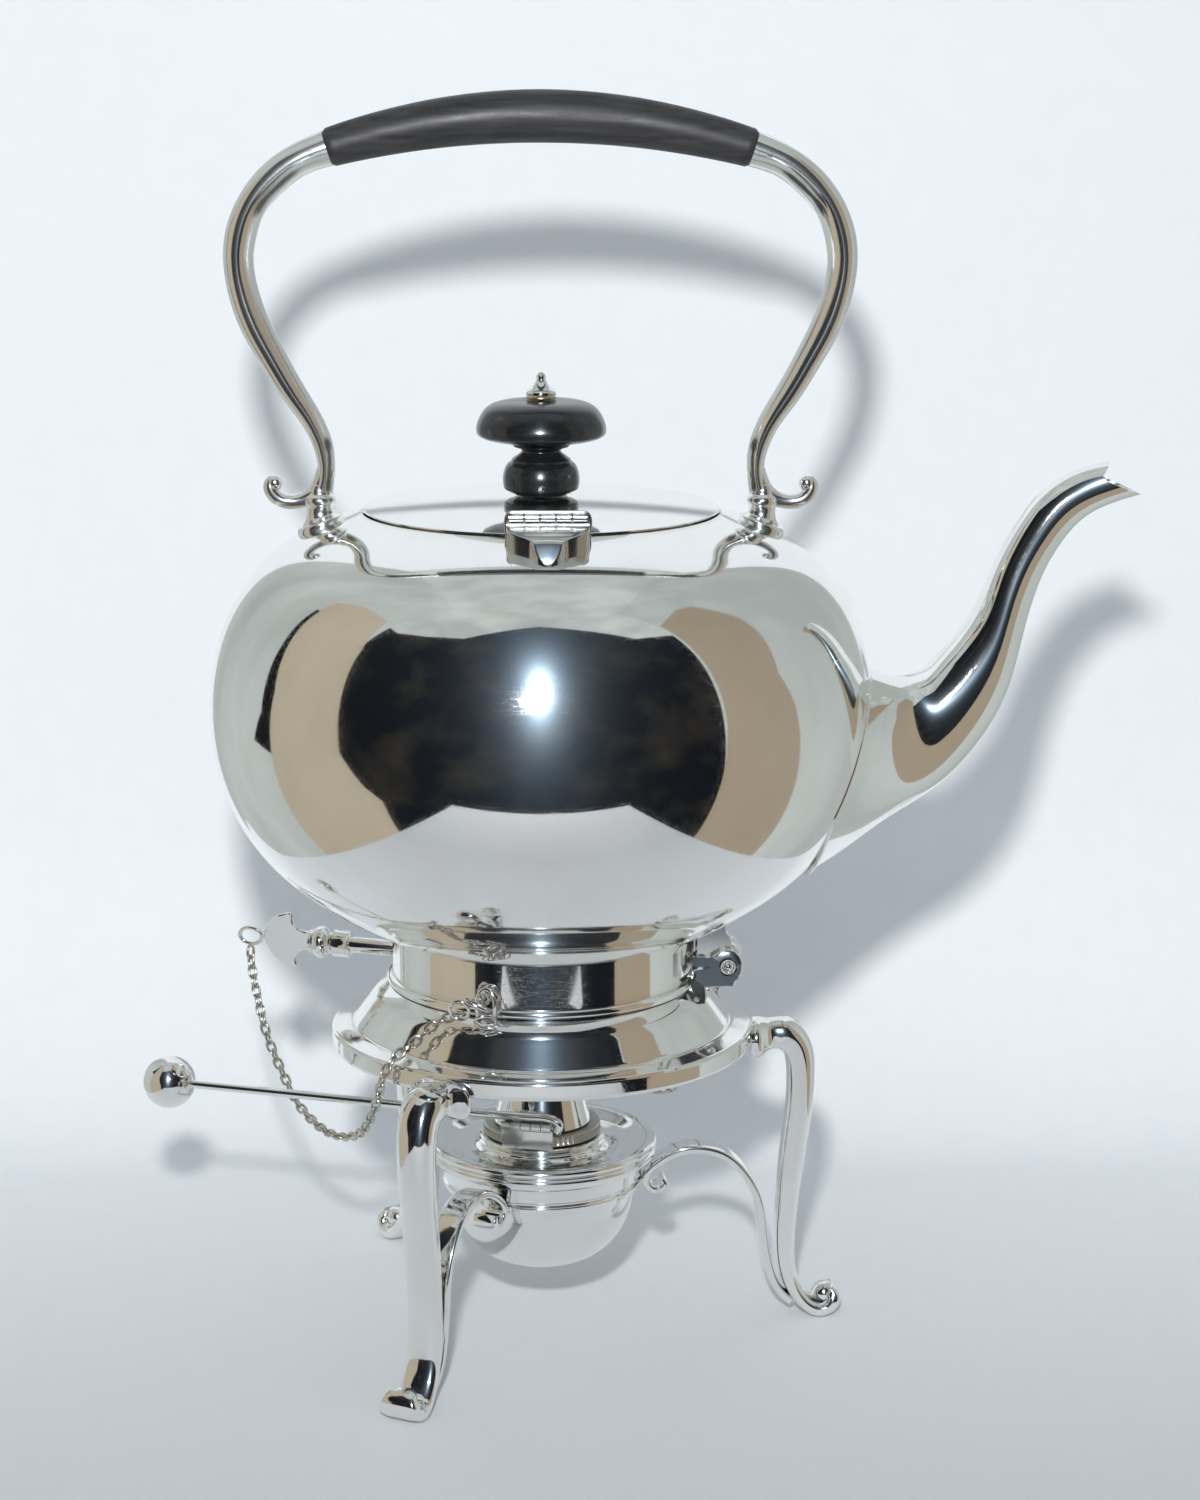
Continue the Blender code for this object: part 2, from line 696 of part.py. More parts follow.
def grip_end(side, reach):
    """A point on the grip's centre line, carried straight on past the grip's end by a reach."""
    along = Vector((1, 0, grip_slope(grip_half_length))).normalized()
    return Vector((side * (grip_half_length + reach * along.x), 0, grip_end_z + reach * along.z))


def tenon(name, side, grow):
    """The grip's round tenon, or with a clearance the arm's socket for it."""
    return rod(name, tenon_radius + grow, grip_end(side, -overrun), grip_end(side, tenon_length + grow), 12)


def cross_rod(name, side, radius, half_length):
    """A rod across the arm's socket, for the rivet or its hole."""
    spot, half = grip_end(side, rivet_reach), Vector((0, half_length, 0))
    return rod(name, radius, spot - half, spot + half, 10)


def make_grip(carrier):
    """The arched black grip, thicker in the middle, with a tenon at each end."""
    rings = []
    for x in np.linspace(-grip_half_length, grip_half_length, 13):
        radius = grip_radius(x)
        along = Vector((1, 0, grip_slope(x))).normalized()
        normal = Vector((-along.z, 0, along.x))
        rings.append([(x + radius * cos(a) * normal.x, radius * sin(a),
                       grip_height(x) + radius * cos(a) * normal.z)
                      for a in np.linspace(0, 2 * pi, 12, endpoint=False)])
    grip = loft("grip", rings)
    for side in (-1, 1):
        grip = join(grip, tenon("tenon", side, 0))
        grip = cut(grip, cross_rod("hole", side, rivet_radius + gap, 2 * tenon_radius))
    finish(grip, GRIP, carrier)


def make_lid(carrier):
    """The domed lid with the bezel that centres it in the mouth."""
    low = mouth_z + gap
    edge = low + lid_wall
    top = [(lid_radius * s, edge + lid_rise * (1 - s * s)) for s in np.linspace(0, 1, 5)]
    under = [(r * (1 - lid_wall / lid_radius), z - lid_wall) for r, z in top[:-1:2]]
    outline = top + [(lid_radius, low)] + [(under[-1][0], low)] + under[::-1]
    lid = bake(turned("lid", outline))
    hole = rod("hole", stud_radius + gap, (0, 0, low - overrun), (0, 0, edge + 3 * lid_rise), 16)
    finish(cut(lid, hole), SILVER, carrier)
    inner = bezel_radius - bezel_wall
    share = bezel_radius / lid_radius
    bezel_top = edge + lid_rise * (1 - share * share) - lid_wall - 2 * gap
    ring = [(inner, bezel_top), (bezel_radius, bezel_top), (bezel_radius, low - bezel_depth),
            (inner, low - bezel_depth)]
    finish(turned("lid_bezel", ring, closed=True, steps=24), SILVER, carrier)
    make_knob(edge + lid_rise + gap, carrier)


def make_knob(base_z, carrier):
    """Baluster, mushroom cap, washer and finial, drawn down by a stud and nut."""
    bore = stud_radius + gap
    r, h = knob_baluster_radius, knob_baluster_height
    side = [(x * r, base_z + z * h) for x, z in baluster_shares[::-1]]
    outline = [(bore, base_z + h)] + side + [(bore, base_z)]
    finish(turned("knob_baluster", outline, closed=True, steps=16), HORN, carrier)
    low = base_z + h + gap
    r, h = knob_cap_radius, knob_cap_height
    side = [(x * r, low + z * h) for x, z in cap_shares[::-1]]
    outline = [(bore, low + h)] + side + [(bore, low)]
    finish(turned("knob_cap", outline, closed=True, steps=24), HORN, carrier)
    low = low + h + gap
    ring = [(bore, low + washer_height), (washer_radius, low + washer_height), (washer_radius, low),
            (bore, low)]
    finish(turned("knob_washer", ring, closed=True, steps=small_steps), BRASS, carrier)
    low = low + washer_height + gap
    r, h = finial_radius, finial_height
    side = [(x * r, low + z * h) for x, z in finial_shares[::-1]]
    finish(turned("knob_finial", [(0, low + h)] + side + [(0, low)], steps=small_steps), SILVER, carrier)
    stud_top = low - gap
    stud_low = mouth_z + gap - nut_height - 2 * gap
    stud = rod("knob_stud", stud_radius, (0, 0, stud_low), (0, 0, stud_top), 16)
    finish(stud, SILVER, carrier)
    nut_top = base_z - gap - lid_wall - gap
    nut = rod("knob_nut", nut_width / 2, (0, 0, nut_top - nut_height), (0, 0, nut_top), 6)
    hole = rod("hole", bore, (0, 0, nut_top - 2 * nut_height), (0, 0, nut_top + nut_height), 16)
    finish(cut(nut, hole), BRASS, carrier)


def knuckle_spans(length, count=5):
    """Start and end of each knuckle along a hinge, with a clearance between them."""
    step = length / count
    return [(-length / 2 + k * step + gap / 2, -length / 2 + (k + 1) * step - gap / 2) for k in range(count)]


def hinge_leaf(name, web, spans, axis_point, along, radius, pin_radius_, keep):
    """A leaf: its web joined to the kept knuckles, with the other ones' places cut free."""
    leaf = web
    for k, (start, end) in enumerate(spans):
        a, b = axis_point + along * start, axis_point + along * end
        if k in keep:
            leaf = join(leaf, rod("knuckle", radius, a, b, 14))
        else:
            a, b = a - along * gap, b + along * gap
            leaf = cut(leaf, rod("relief", radius + gap, a, b, 14))
    reach = (spans[-1][1] - spans[0][0])
    hole = rod("hole", pin_radius_ + gap, axis_point - along * reach, axis_point + along * reach, 10)
    leaf = cut(leaf, hole)
    leaf.name = name
    return leaf


def make_lid_hinge(kettle, lid):
    """Five knuckles on a pin: two on the lid's leaf, three on the body's tongued leaf."""
    axis_point = Vector((lid_hinge_shift, -lid_hinge_reach, lid_hinge_z))
    along = Vector((1, 0, 0))
    half = lid_hinge_length / 2
    spans = knuckle_spans(lid_hinge_length)
    radius = lid_knuckle_radius
    foot_y = -lid_hinge_reach - radius
    drop = 3 * radius
    web = block("web", (lid_hinge_length, leaf_thickness, lid_hinge_z - mouth_z + drop),
                (lid_hinge_shift, foot_y + leaf_thickness / 2, (lid_hinge_z + mouth_z - drop) / 2))
    tip = lid_leaf_length
    start_y = foot_y + leaf_thickness / 2
    right = [(lid_hinge_shift + half * x, tip * y - start_y) for x, y in leaf_shares]
    left = [(lid_hinge_shift - half * x, tip * y - start_y) for x, y in leaf_shares[::-1]]
    tongue = plate("tongue", right + left, 4 * drop)
    tongue.matrix_world = Matrix.Translation((axis_x, 0, mouth_z - drop)) @ Matrix.Rotation(pi / 2, 4, "X")
    skin = combine(tongue, body_solid("body_skin", leaf_thickness + gap), "INTERSECT")
    leaf = hinge_leaf("body_hinge_leaf", join(web, skin), spans, axis_point, along, radius,
                      lid_hinge_pin_radius, (0, 2, 4))
    finish(cut(leaf, body_solid("body_fit", gap)), SILVER, kettle)
    low = mouth_z + gap + lid_wall + gap
    web = block("web", (lid_hinge_length * 0.9, leaf_thickness, lid_hinge_z - low),
                (lid_hinge_shift, -lid_hinge_reach + radius - leaf_thickness / 2, (lid_hinge_z + low) / 2))
    inward = lid_leaf_length * 0.8
    start = -lid_hinge_reach + radius - leaf_thickness
    slab = block("slab", (lid_hinge_length * 0.9, inward, leaf_thickness * 2),
                 (lid_hinge_shift, start + inward / 2, low + leaf_thickness))
    leaf = hinge_leaf("lid_hinge_leaf", join(web, slab), spans, axis_point, along, radius,
                      lid_hinge_pin_radius, (1, 3))
    finish(cut(leaf, lid_solid("lid_fit")), SILVER, lid)
    pin = rod("lid_hinge_pin", lid_hinge_pin_radius, axis_point - along * half, axis_point + along * half, 12)
    finish(pin, SILVER, kettle)


def lid_solid(name):
    """The lid's outside grown by the clearance, for fitting its leaf."""
    low = mouth_z + gap
    edge = low + lid_wall
    top = [((lid_radius + gap) * s, edge + gap + lid_rise * (1 - s * s)) for s in np.linspace(0, 1, 9)]
    return bake(turned(name, top + [(lid_radius + gap, low - overrun), (0, low - overrun)]))


def collar_side(grow):
    """The collar's outside from its top down over the bead."""
    r = collar_radius
    bead = arc((r, collar_foot_z + collar_bead / 2), collar_bead + grow, 80, -20, 4)
    return [(r + grow, collar_top_z + grow)] + bead + [(r + collar_bead * 0.7 + grow, collar_foot_z - grow)]


def flange_side():
    """The flange's convex shoulder, from under the collar down to the cove's foot."""
    top = collar_foot_z - gap
    run, fall = cove_foot_radius - collar_radius, top - cove_foot_z
    return [(collar_radius + run * u, top - fall * v) for u, v in shoulder_shares]


def stand_solid(name):
    """The collar's and flange's outside grown by the clearance, for fitting pieces to them."""
    side = collar_side(gap) + [(p[0] + gap, p[1] + gap) for p in flange_side()[1:]]
    return bake(turned(name, [(0, collar_top_z + gap)] + side + [(0, cove_foot_z + gap)]))


def make_collar(carrier):
    """The collar's wall with a bead at its foot, bored for the lock pin."""
    r, wall = collar_radius, collar_wall
    side = collar_side(0)
    outline = [(r - wall, collar_top_z)] + side + [(r - wall, collar_foot_z)]
    collar = bake(turned("stand_collar", outline, closed=True))
    hole = rod("hole", pin_radius + gap, around(lock_angle, r - overrun, lock_pin_z),
               around(lock_angle, r + overrun, lock_pin_z))
    finish(cut(collar, hole), SILVER, carrier)


def make_flange(carrier):
    """The spreading flange with its turned-down rim, hollow below."""
    top = collar_foot_z - gap
    inner = collar_radius - collar_wall
    side = flange_side()
    rim = flange_radius
    lip = flange_wall
    ledge = [(cove_foot_radius + lip / 2, cove_foot_z - gap), (rim - lip, flange_rim_top_z + gap),
             (rim, flange_rim_top_z - gap), (rim, flange_rim_bottom_z), (rim - lip, flange_rim_bottom_z),
             (rim - lip, flange_rim_top_z - lip), (cove_foot_radius - lip / 2, cove_foot_z - 1.4 * lip)]
    under = [(p[0] - lip * 0.8, p[1] - lip * 0.8) for p in side[-2:0:-1]]
    outline = side + ledge + under + [(inner, top - lip), (inner, top)]
    finish(turned("stand_flange", outline, closed=True), SILVER, carrier)


def make_ears(carrier):
    """Two ears on the collar that hold the kettle's tongue between them."""
    near = collar_radius + gap
    shoulder = pivot_z + ear_radius * 0.55
    round_end = arc((pivot_reach, pivot_z), ear_radius, 140, -90, 12)
    outline = [(near - overrun / 2, shoulder), (pivot_reach - 1.5 * ear_radius, shoulder)] + round_end
    outline += [(near - overrun / 2, pivot_z - ear_radius)]
    offset = tongue_thickness / 2 + gap + ear_thickness / 2
    for side, label in ((-1, "near"), (1, "far")):
        ear = plate("lug_ear_" + label, outline, ear_thickness)
        ear.location.y = side * offset
        hole = rod("hole", pin_radius + gap, (pivot_reach, -2 * overrun, pivot_z),
                   (pivot_reach, 2 * overrun, pivot_z))
        finish(cut(cut(ear, hole), stand_solid("stand_fit")), SILVER, carrier)


def make_pin(name, start, along, shaft_length, carrier):
    """A lock pin: nib, shaft, collar, bead, winged plate and eye, along its own axis.

    It is drawn with its axis along Z, the plate in the XZ plane, and then laid.
    """
    c = pin_collar_length
    bead_z = c + gap * 2 + pin_bead_length / 2
    plate_z = c + pin_bead_length
    outline = [(0, plate_z)]
    outline += [(pin_bead_radius * sin(a), bead_z + pin_bead_length / 2 * cos(a))
                for a in np.linspace(0.35, pi - 0.45, 6)]
    outline += [(pin_collar_radius * 0.7, c), (pin_collar_radius, c * 0.92), (pin_collar_radius, c * 0.08),
                (pin_collar_radius * 0.9, 0), (pin_radius, 0), (pin_radius, -shaft_length + pin_nib_length),
                (pin_nib_radius, -shaft_length + pin_nib_length * 0.7), (pin_nib_radius * 0.7, -shaft_length),
                (0, -shaft_length)]
    outline[0] = (0, bead_z + pin_bead_length / 2)
    pin = bake(turned(name, outline, steps=small_steps))
    length, half = pin_plate_length, pin_plate_half_height
    right = [(half * x, plate_z - gap + length * z) for x, z in wing_shares]
    left = [(-x, z) for x, z in right[::-1]]
    pin = join(pin, plate("wings", left + right, pin_plate_thickness))
    eye_z = plate_z + length + eye_half_length
    ring = [(eye_radius * cos(a), 0, eye_z + eye_half_length * sin(a))
            for a in np.linspace(0, 2 * pi, 8, endpoint=False)]
    pin = join(pin, wire("eye", ring, eye_wire, closed=True))
    along = Vector(along).normalized()
    side = Vector((0, 0, 1))
    across = along.cross(side)
    pin.matrix_world = Matrix.Translation(Vector(start) + Vector((axis_x, 0, 0))) @ Matrix(
        (side, across, along)).transposed().to_4x4()
    finish(pin, SILVER, carrier)


def make_staple(name, angle, carrier):
    """A wire staple at the collar's foot that holds a chain's first ring."""
    reach = collar_radius + collar_bead + gap + staple_wire
    middle = around(angle, reach + staple_radius, collar_foot_z + collar_bead)
    out = around(angle, 1, 0)
    up = Vector((0, 0, 1))
    ring = [middle + out * staple_radius * cos(a) + up * staple_radius * sin(a)
            for a in np.linspace(0, 2 * pi, 8, endpoint=False)]
    staple = wire(name, ring, staple_wire, closed=True)
    finish(staple, SILVER, carrier)


lock_chain_route = [
    (-0.0812, 0.0264, 0.0993), (-0.0810, 0.0256, 0.0950), (-0.0796, 0.0228, 0.0881), (-0.0768, 0.0183, 0.0777),
    (-0.0740, 0.0137, 0.0718), (-0.0709, 0.0087, 0.0668), (-0.0676, 0.0032, 0.0622), (-0.0633, -0.0038, 0.0594),
    (-0.0588, -0.0113, 0.0584), (-0.0543, -0.0187, 0.0592), (-0.0508, -0.0246, 0.0612),
    (-0.0472, -0.0325, 0.0658), (-0.0448, -0.0383, 0.0716), (-0.0428, -0.0415, 0.0778),
    (-0.0410, -0.0430, 0.0845), (-0.0380, -0.0415, 0.0888), (-0.0340, -0.0400, 0.0915),
    (-0.0295, -0.0395, 0.0955), (-0.0252, -0.0400, 0.0985), (-0.0208, -0.0420, 0.1002)]
lug_chain_route = [
    (0.0504, 0.0333, 0.0985), (0.0504, 0.0345, 0.0930), (0.0496, 0.0400, 0.0830), (0.0478, 0.0470, 0.0700),
    (0.0450, 0.0530, 0.0600), (0.0410, 0.0560, 0.0520), (0.0360, 0.0580, 0.0470), (0.0310, 0.0590, 0.0475),
    (0.0275, 0.0588, 0.0540), (0.0255, 0.0580, 0.0640), (0.0245, 0.0570, 0.0740), (0.0235, 0.0555, 0.0830),
    (0.0225, 0.0530, 0.0890), (0.0210, 0.0495, 0.0920), (0.0195, 0.0470, 0.0965)]


def make_chain(name, route, carrier):
    """A chain's free run, as a plain round cord along its route."""
    chain = wire(name, [tuple(p) for p in smooth_curve(route, 2)], chain_radius)
    finish(chain, SILVER, carrier)


def leg_sections():
    """The leg's sections in real sizes, standing out from the flange's rim."""
    return [((flange_radius + r * leg_spread, z * flange_rim_bottom_z), t * leg_half_width,
             w * leg_half_width, tilt) for (r, z), t, w, tilt in leg_shares]


def strap_sections():
    """The strap's sections in real sizes, with its volute as a spiral that comes in."""
    wide, thick = strap_half_width, strap_half_thickness
    sections = [((ring_radius + r * strap_span, z * strap_height), t * thick, w * wide, tilt)
                for (r, z), t, w, tilt in strap_shares]
    centre = (ring_radius + 2 * gap + thick + volute_radius, strap_height - volute_radius - thick)
    for share in np.linspace(0, 1, 9):
        turn = 90 + volute_turn * share
        radius = volute_radius * (1 - (1 - volute_end_share) * share)
        spot = (centre[0] + radius * cos(radians(turn)), centre[1] + radius * sin(radians(turn)))
        sections.append((spot, thick * (1 - share / 3), wide, turn))
    return sections


def make_legs(carrier):
    """Three cabriole legs with scroll feet, each with a strap that carries the burner ring."""
    for k in range(leg_count):
        angle = first_leg_angle + k * 360 / leg_count
        leg = bar_in_plane("leg_%d" % (k + 1), leg_sections(), angle)
        size = 6 * overrun
        reach = flange_radius + foot_share * leg_spread
        leg = cut(leg, block("ground", (2 * size, size, size), (reach, 0, -size / 2), angle))
        rim = rod("rim_fit", flange_radius + gap, (0, 0, flange_rim_bottom_z - size), (0, 0, pivot_z), round_steps)
        finish(cut(leg, rim), SILVER, carrier)
        strap = bar_in_plane("strap_%d" % (k + 1), strap_sections(), angle, squareness=2.6)
        strap = cut(strap, bar_in_plane("leg_fit", leg_sections(), angle, grow=gap))
        seat = rod("ring_fit", ring_radius + gap, (0, 0, 0), (0, 0, pivot_z), round_steps)
        finish(cut(strap, seat), SILVER, carrier)
    r, wall = ring_radius, ring_wall
    outline = [(r - wall, ring_top_z), (r, ring_top_z), (r, ring_bottom_z + 1.2 * wall),
               (r - wall * 0.4, ring_bottom_z + 0.8 * wall), (r - wall * 0.4, ring_bottom_z),
               (r - wall, ring_bottom_z)]
    finish(turned("burner_ring", outline, closed=True, steps=24), SILVER, carrier)


def make_burner(carrier):
    """Reservoir, top plate, milled ring, wick tube and wick."""
    r, wall, flat = bowl_radius, bowl_wall, bowl_flat_share
    curve = [(r * (flat + (1 - flat) * cos(a)), bowl_turn_z - (bowl_turn_z - bowl_bottom_z) * sin(a))
             for a in np.linspace(0, pi / 2, 6)]
    top = ring_top_z
    outer = [(r, top)] + curve + [(0, bowl_bottom_z)]
    inner = [(0, bowl_bottom_z + wall)] + [(x - wall, z + wall) for x, z in curve[::-2]] + [(r - wall, top)]
    finish(turned("burner_bowl", inner + outer, steps=24), SILVER, carrier)
    hole = wick_tube_radius + gap
    seat = ring_top_z + gap
    t = plate_wall
    edge = plate_edge_top_z
    outline = [(hole, plate_top_z), (milled_radius, plate_top_z), (milled_radius + 2 * t, plate_top_z - t),
               (milled_radius + 5 * t, plate_top_z - 1.6 * t), (plate_radius - 2 * t, edge + t * 0.3),
               (plate_radius - t * 0.5, edge), (plate_radius, edge - t * 0.6), (plate_radius, edge - 2 * t),
               (plate_radius - t, seat + t), (ring_radius, seat), (ring_radius - ring_wall - 3 * t, seat),
               (ring_radius - ring_wall - 3 * t, edge - t), (milled_radius, plate_top_z - 2.6 * t),
               (hole, plate_top_z - 2.6 * t)]
    finish(turned("burner_plate", outline, closed=True, steps=24), SILVER, carrier)
    make_milled_ring(hole, plate_top_z + gap, carrier)
    tube = wick_tube_radius
    inner = tube - wick_tube_wall
    ring = [(inner, wick_tube_top_z), (tube, wick_tube_top_z), (tube, wick_tube_bottom_z),
            (inner, wick_tube_bottom_z)]
    finish(turned("wick_tube", ring, closed=True, steps=24), BRASS, carrier)
    wick = rod("wick", wick_radius, (0, 0, wick_bottom_z), (0, 0, wick_top_z), 24)
    finish(wick, WICK, carrier)


def make_milled_ring(hole, low, carrier):
    """The wick holder's milled grip ring, its teeth on a formula."""
    shape = bmesh.new()
    rings = []
    count = 2 * milled_teeth
    for radius, height in ((hole, low), (milled_radius, low), (milled_radius, milled_top_z), (hole, milled_top_z)):
        ring = []
        for k in range(count):
            angle = 2 * pi * k / count
            r = radius - (milled_tooth_depth if k % 2 and radius == milled_radius else 0)
            ring.append(shape.verts.new((r * cos(angle), r * sin(angle), height)))
        rings.append(ring)
    for a, b in zip(rings, rings[1:] + rings[:1]):
        for k in range(count):
            after = (k + 1) % count
            shape.faces.new([a[k], a[after], b[after], b[k]])
    finish(from_bmesh("milled_ring", shape), BRASS, carrier, 20)


def make_snuffer(burner, snuffer):
    """The hollow snuffer cap, its five-knuckle hinge, lever rod and ball."""
    slope = np.tan(radians(snuffer_taper_angle))
    low = milled_top_z + gap
    r, wall, high = snuffer_radius, snuffer_wall, snuffer_height
    top_radius = r - slope * (high - snuffer_crown)
    outer = [(0, low + high), (0.55 * top_radius, low + high - 0.12 * snuffer_crown),
             (0.88 * top_radius, low + high - 0.45 * snuffer_crown), (top_radius, low + high - snuffer_crown),
             (r, low)]
    inner = [(r - wall, low), (top_radius - wall, low + high - snuffer_crown),
             (0.88 * top_radius - wall, low + high - 0.45 * snuffer_crown - wall),
             (0.50 * top_radius, low + high - 0.12 * snuffer_crown - wall), (0, low + high - wall)]
    finish(turned("snuffer_cap", outer + inner, steps=28), SILVER, snuffer)
    angle = snuffer_angle
    out = around(angle, 1, 0)
    along = Vector((-out.y, out.x, 0))
    axis_point = around(angle, snuffer_hinge_reach, snuffer_hinge_z)
    spans = knuckle_spans(snuffer_hinge_length)
    radius = snuffer_knuckle_radius
    half = snuffer_hinge_length / 2
    plate_reach = milled_radius + gap + leaf_thickness / 2
    low_z = plate_top_z + 2 * gap
    web = block("web", (leaf_thickness, snuffer_hinge_length, snuffer_hinge_z - low_z),
                (plate_reach, 0, (snuffer_hinge_z + low_z) / 2), angle)
    shelf_length = snuffer_hinge_reach - plate_reach
    shelf = block("shelf", (shelf_length, snuffer_hinge_length, leaf_thickness),
                  (plate_reach + shelf_length / 2, 0, snuffer_hinge_z - radius + leaf_thickness / 2), angle)
    leaf = hinge_leaf("burner_hinge_leaf", join(web, shelf), spans, axis_point, along, radius,
                      snuffer_pin_radius, (0, 2, 4))
    finish(leaf, SILVER, burner)
    cap_front = r - slope * (snuffer_hinge_z + radius - low)
    shelf_length = snuffer_hinge_reach - cap_front
    web = block("web", (shelf_length, snuffer_hinge_length * 0.92, leaf_thickness),
                (cap_front + shelf_length / 2, 0, snuffer_hinge_z + radius - leaf_thickness / 2), angle)
    leaf = hinge_leaf("snuffer_hinge_leaf", web, spans, axis_point, along, radius, snuffer_pin_radius, (1, 3))
    leaf = cut(leaf, cap_solid("cap_fit", low, slope))
    finish(leaf, SILVER, snuffer)
    pin = rod("snuffer_hinge_pin", snuffer_pin_radius, axis_point - along * half, axis_point + along * half, 12)
    finish(pin, SILVER, burner)
    make_lever(axis_point, along, out, snuffer)


def cap_solid(name, low, slope):
    """The snuffer cap's outside grown by the clearance."""
    reach = snuffer_height
    grown = snuffer_radius + 1.2 * gap
    outline = [(0, low + reach), (grown - slope * reach, low + reach), (grown + slope * overrun, low - overrun),
               (0, low - overrun)]
    return bake(turned(name, outline, steps=36))


def make_lever(axis_point, along, out, carrier):
    """The lever rod over the hinge, curled down at one end, with its ball at the other."""
    half = snuffer_hinge_length / 2
    rise = rod_rise
    z = axis_point.z + snuffer_knuckle_radius + gap + rod_radius
    start = axis_point + along * (half + rod_radius + gap)
    tip = Vector((-(ball_reach - ball_radius), ball_y, ball_z))
    over = Vector((axis_point.x, axis_point.y, z))
    route = [start + Vector((0, 0, -rise * 0.3)), start + along * rod_radius + Vector((0, 0, rise * 0.3)),
             Vector((start.x, start.y, z)) - along * rod_radius,
             over, over - along * half, tip + (over - tip).normalized() * (ball_radius - rod_radius)]
    bend = smooth_curve(route[:4], 4) + [route[4], route[5]]
    lever = wire("lever_rod", [tuple(p) for p in bend], rod_radius)
    sphere = ball("ball_fit", ball_radius + gap, tip, 16)
    finish(cut(lever, sphere), SILVER, carrier)
    finish(ball("lever_ball", ball_radius, tip, 16), SILVER, carrier)


clear_scene()
kettle_parts = bpy.data.collections.new("spirit_kettle_on_stand")
bpy.context.scene.collection.children.link(kettle_parts)

stand = joint_empty("stand_axis", (0, 0, 0))
kettle = joint_empty("kettle_tilt_axis", (pivot_reach, 0, pivot_z), stand)
lid = joint_empty("lid_hinge_axis", (lid_hinge_shift, -lid_hinge_reach, lid_hinge_z), kettle)
burner = joint_empty("burner_axis", (0, 0, ring_top_z), stand)
snuffer = joint_empty("snuffer_hinge_axis", around(snuffer_angle, snuffer_hinge_reach, snuffer_hinge_z), burner)
lug_pin = joint_empty("lug_pin_axis", (pivot_reach, 0, pivot_z), stand)
lock_pin = joint_empty("lock_pin_axis", around(lock_angle, collar_radius, lock_pin_z), stand)

make_collar(stand)
make_flange(stand)
make_ears(stand)
make_legs(stand)
make_staple("staple_front", staple_front_angle, stand)
make_staple("staple_back", staple_back_angle, stand)
make_chain("chain_lock_pin", lock_chain_route, stand)
make_chain("chain_lug_pin", lug_chain_route, stand)
lug_start = (pivot_reach, tongue_thickness / 2 + gap + ear_thickness + gap, pivot_z)
make_pin("lug_pin", lug_start, (0, 1, 0), lug_shaft_length, lug_pin)
make_pin("lock_pin", around(lock_angle, lock_drawn_reach, lock_pin_z), around(lock_angle, 1, 0),
         lock_shaft_length, lock_pin)
make_body(kettle)
make_spout(kettle)
make_tongue(kettle)
make_lock_block(kettle)
make_handle(kettle)
make_lid(lid)
make_lid_hinge(kettle, lid)
make_burner(burner)
make_snuffer(burner, snuffer)
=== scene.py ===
# %% [markdown]
# # Spirit kettle on its stand
# A silver kettle tips about a pin on a three-legged stand, over a spirit burner. Polished
# silver shows what is round it and every dent in a curve, so almost every silver piece here
# is worked out again as a fine, fair surface over the plain solids of the frame.

# %% Frame and shared sizes
from math import cos, pi, radians, sin
import bpy
import bmesh
import numpy as np
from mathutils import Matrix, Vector


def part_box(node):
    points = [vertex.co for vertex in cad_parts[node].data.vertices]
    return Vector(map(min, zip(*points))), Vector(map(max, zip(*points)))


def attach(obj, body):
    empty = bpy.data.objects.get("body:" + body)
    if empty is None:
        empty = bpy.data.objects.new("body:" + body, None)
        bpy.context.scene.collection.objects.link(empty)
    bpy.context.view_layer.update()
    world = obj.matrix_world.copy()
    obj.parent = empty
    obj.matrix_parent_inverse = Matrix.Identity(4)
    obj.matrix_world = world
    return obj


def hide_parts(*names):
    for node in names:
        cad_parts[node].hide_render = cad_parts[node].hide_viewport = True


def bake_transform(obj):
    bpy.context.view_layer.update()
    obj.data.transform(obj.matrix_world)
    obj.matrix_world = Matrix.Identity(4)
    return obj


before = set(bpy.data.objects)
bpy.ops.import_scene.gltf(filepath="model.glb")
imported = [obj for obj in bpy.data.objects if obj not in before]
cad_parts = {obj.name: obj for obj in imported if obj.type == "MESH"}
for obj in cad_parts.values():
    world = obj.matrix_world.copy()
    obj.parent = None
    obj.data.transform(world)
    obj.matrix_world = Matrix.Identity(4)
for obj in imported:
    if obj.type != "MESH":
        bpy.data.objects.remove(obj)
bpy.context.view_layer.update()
gap = 0.0003  # the clearance between pieces that move or are fitted to each other


def box_of(node):
    """A frame node's lowest and highest corners, as arrays."""
    low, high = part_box(node)
    return np.array(low), np.array(high)


lid_low, lid_high = box_of("lid")
axis_x = float(lid_low[0] + lid_high[0]) / 2
seat_z = float(box_of("stand_collar")[1][2]) + gap
mouth_z = float(box_of("kettle_body")[1][2])
body_radius = float(box_of("kettle_body")[1][1])
print("kettle axis at x = %.4f, seat %.4f, mouth %.4f, body radius %.4f"
      % (axis_x, seat_z, mouth_z, body_radius))

# %% [markdown]
# ## Surfaces from arrays
# Every surface is a grid of points: rows run along the piece and columns run round it. A
# helper turns the grid into faces with index arithmetic, so no loop visits a vertex. Curves
# come in two kinds. A cubic spline passes through its points with an even bend, which suits
# wires and castings. A least-squares polynomial passes near its points and is as fair as a
# spun shell has to be, because silver shows each small wave of a curve as a bent reflection.

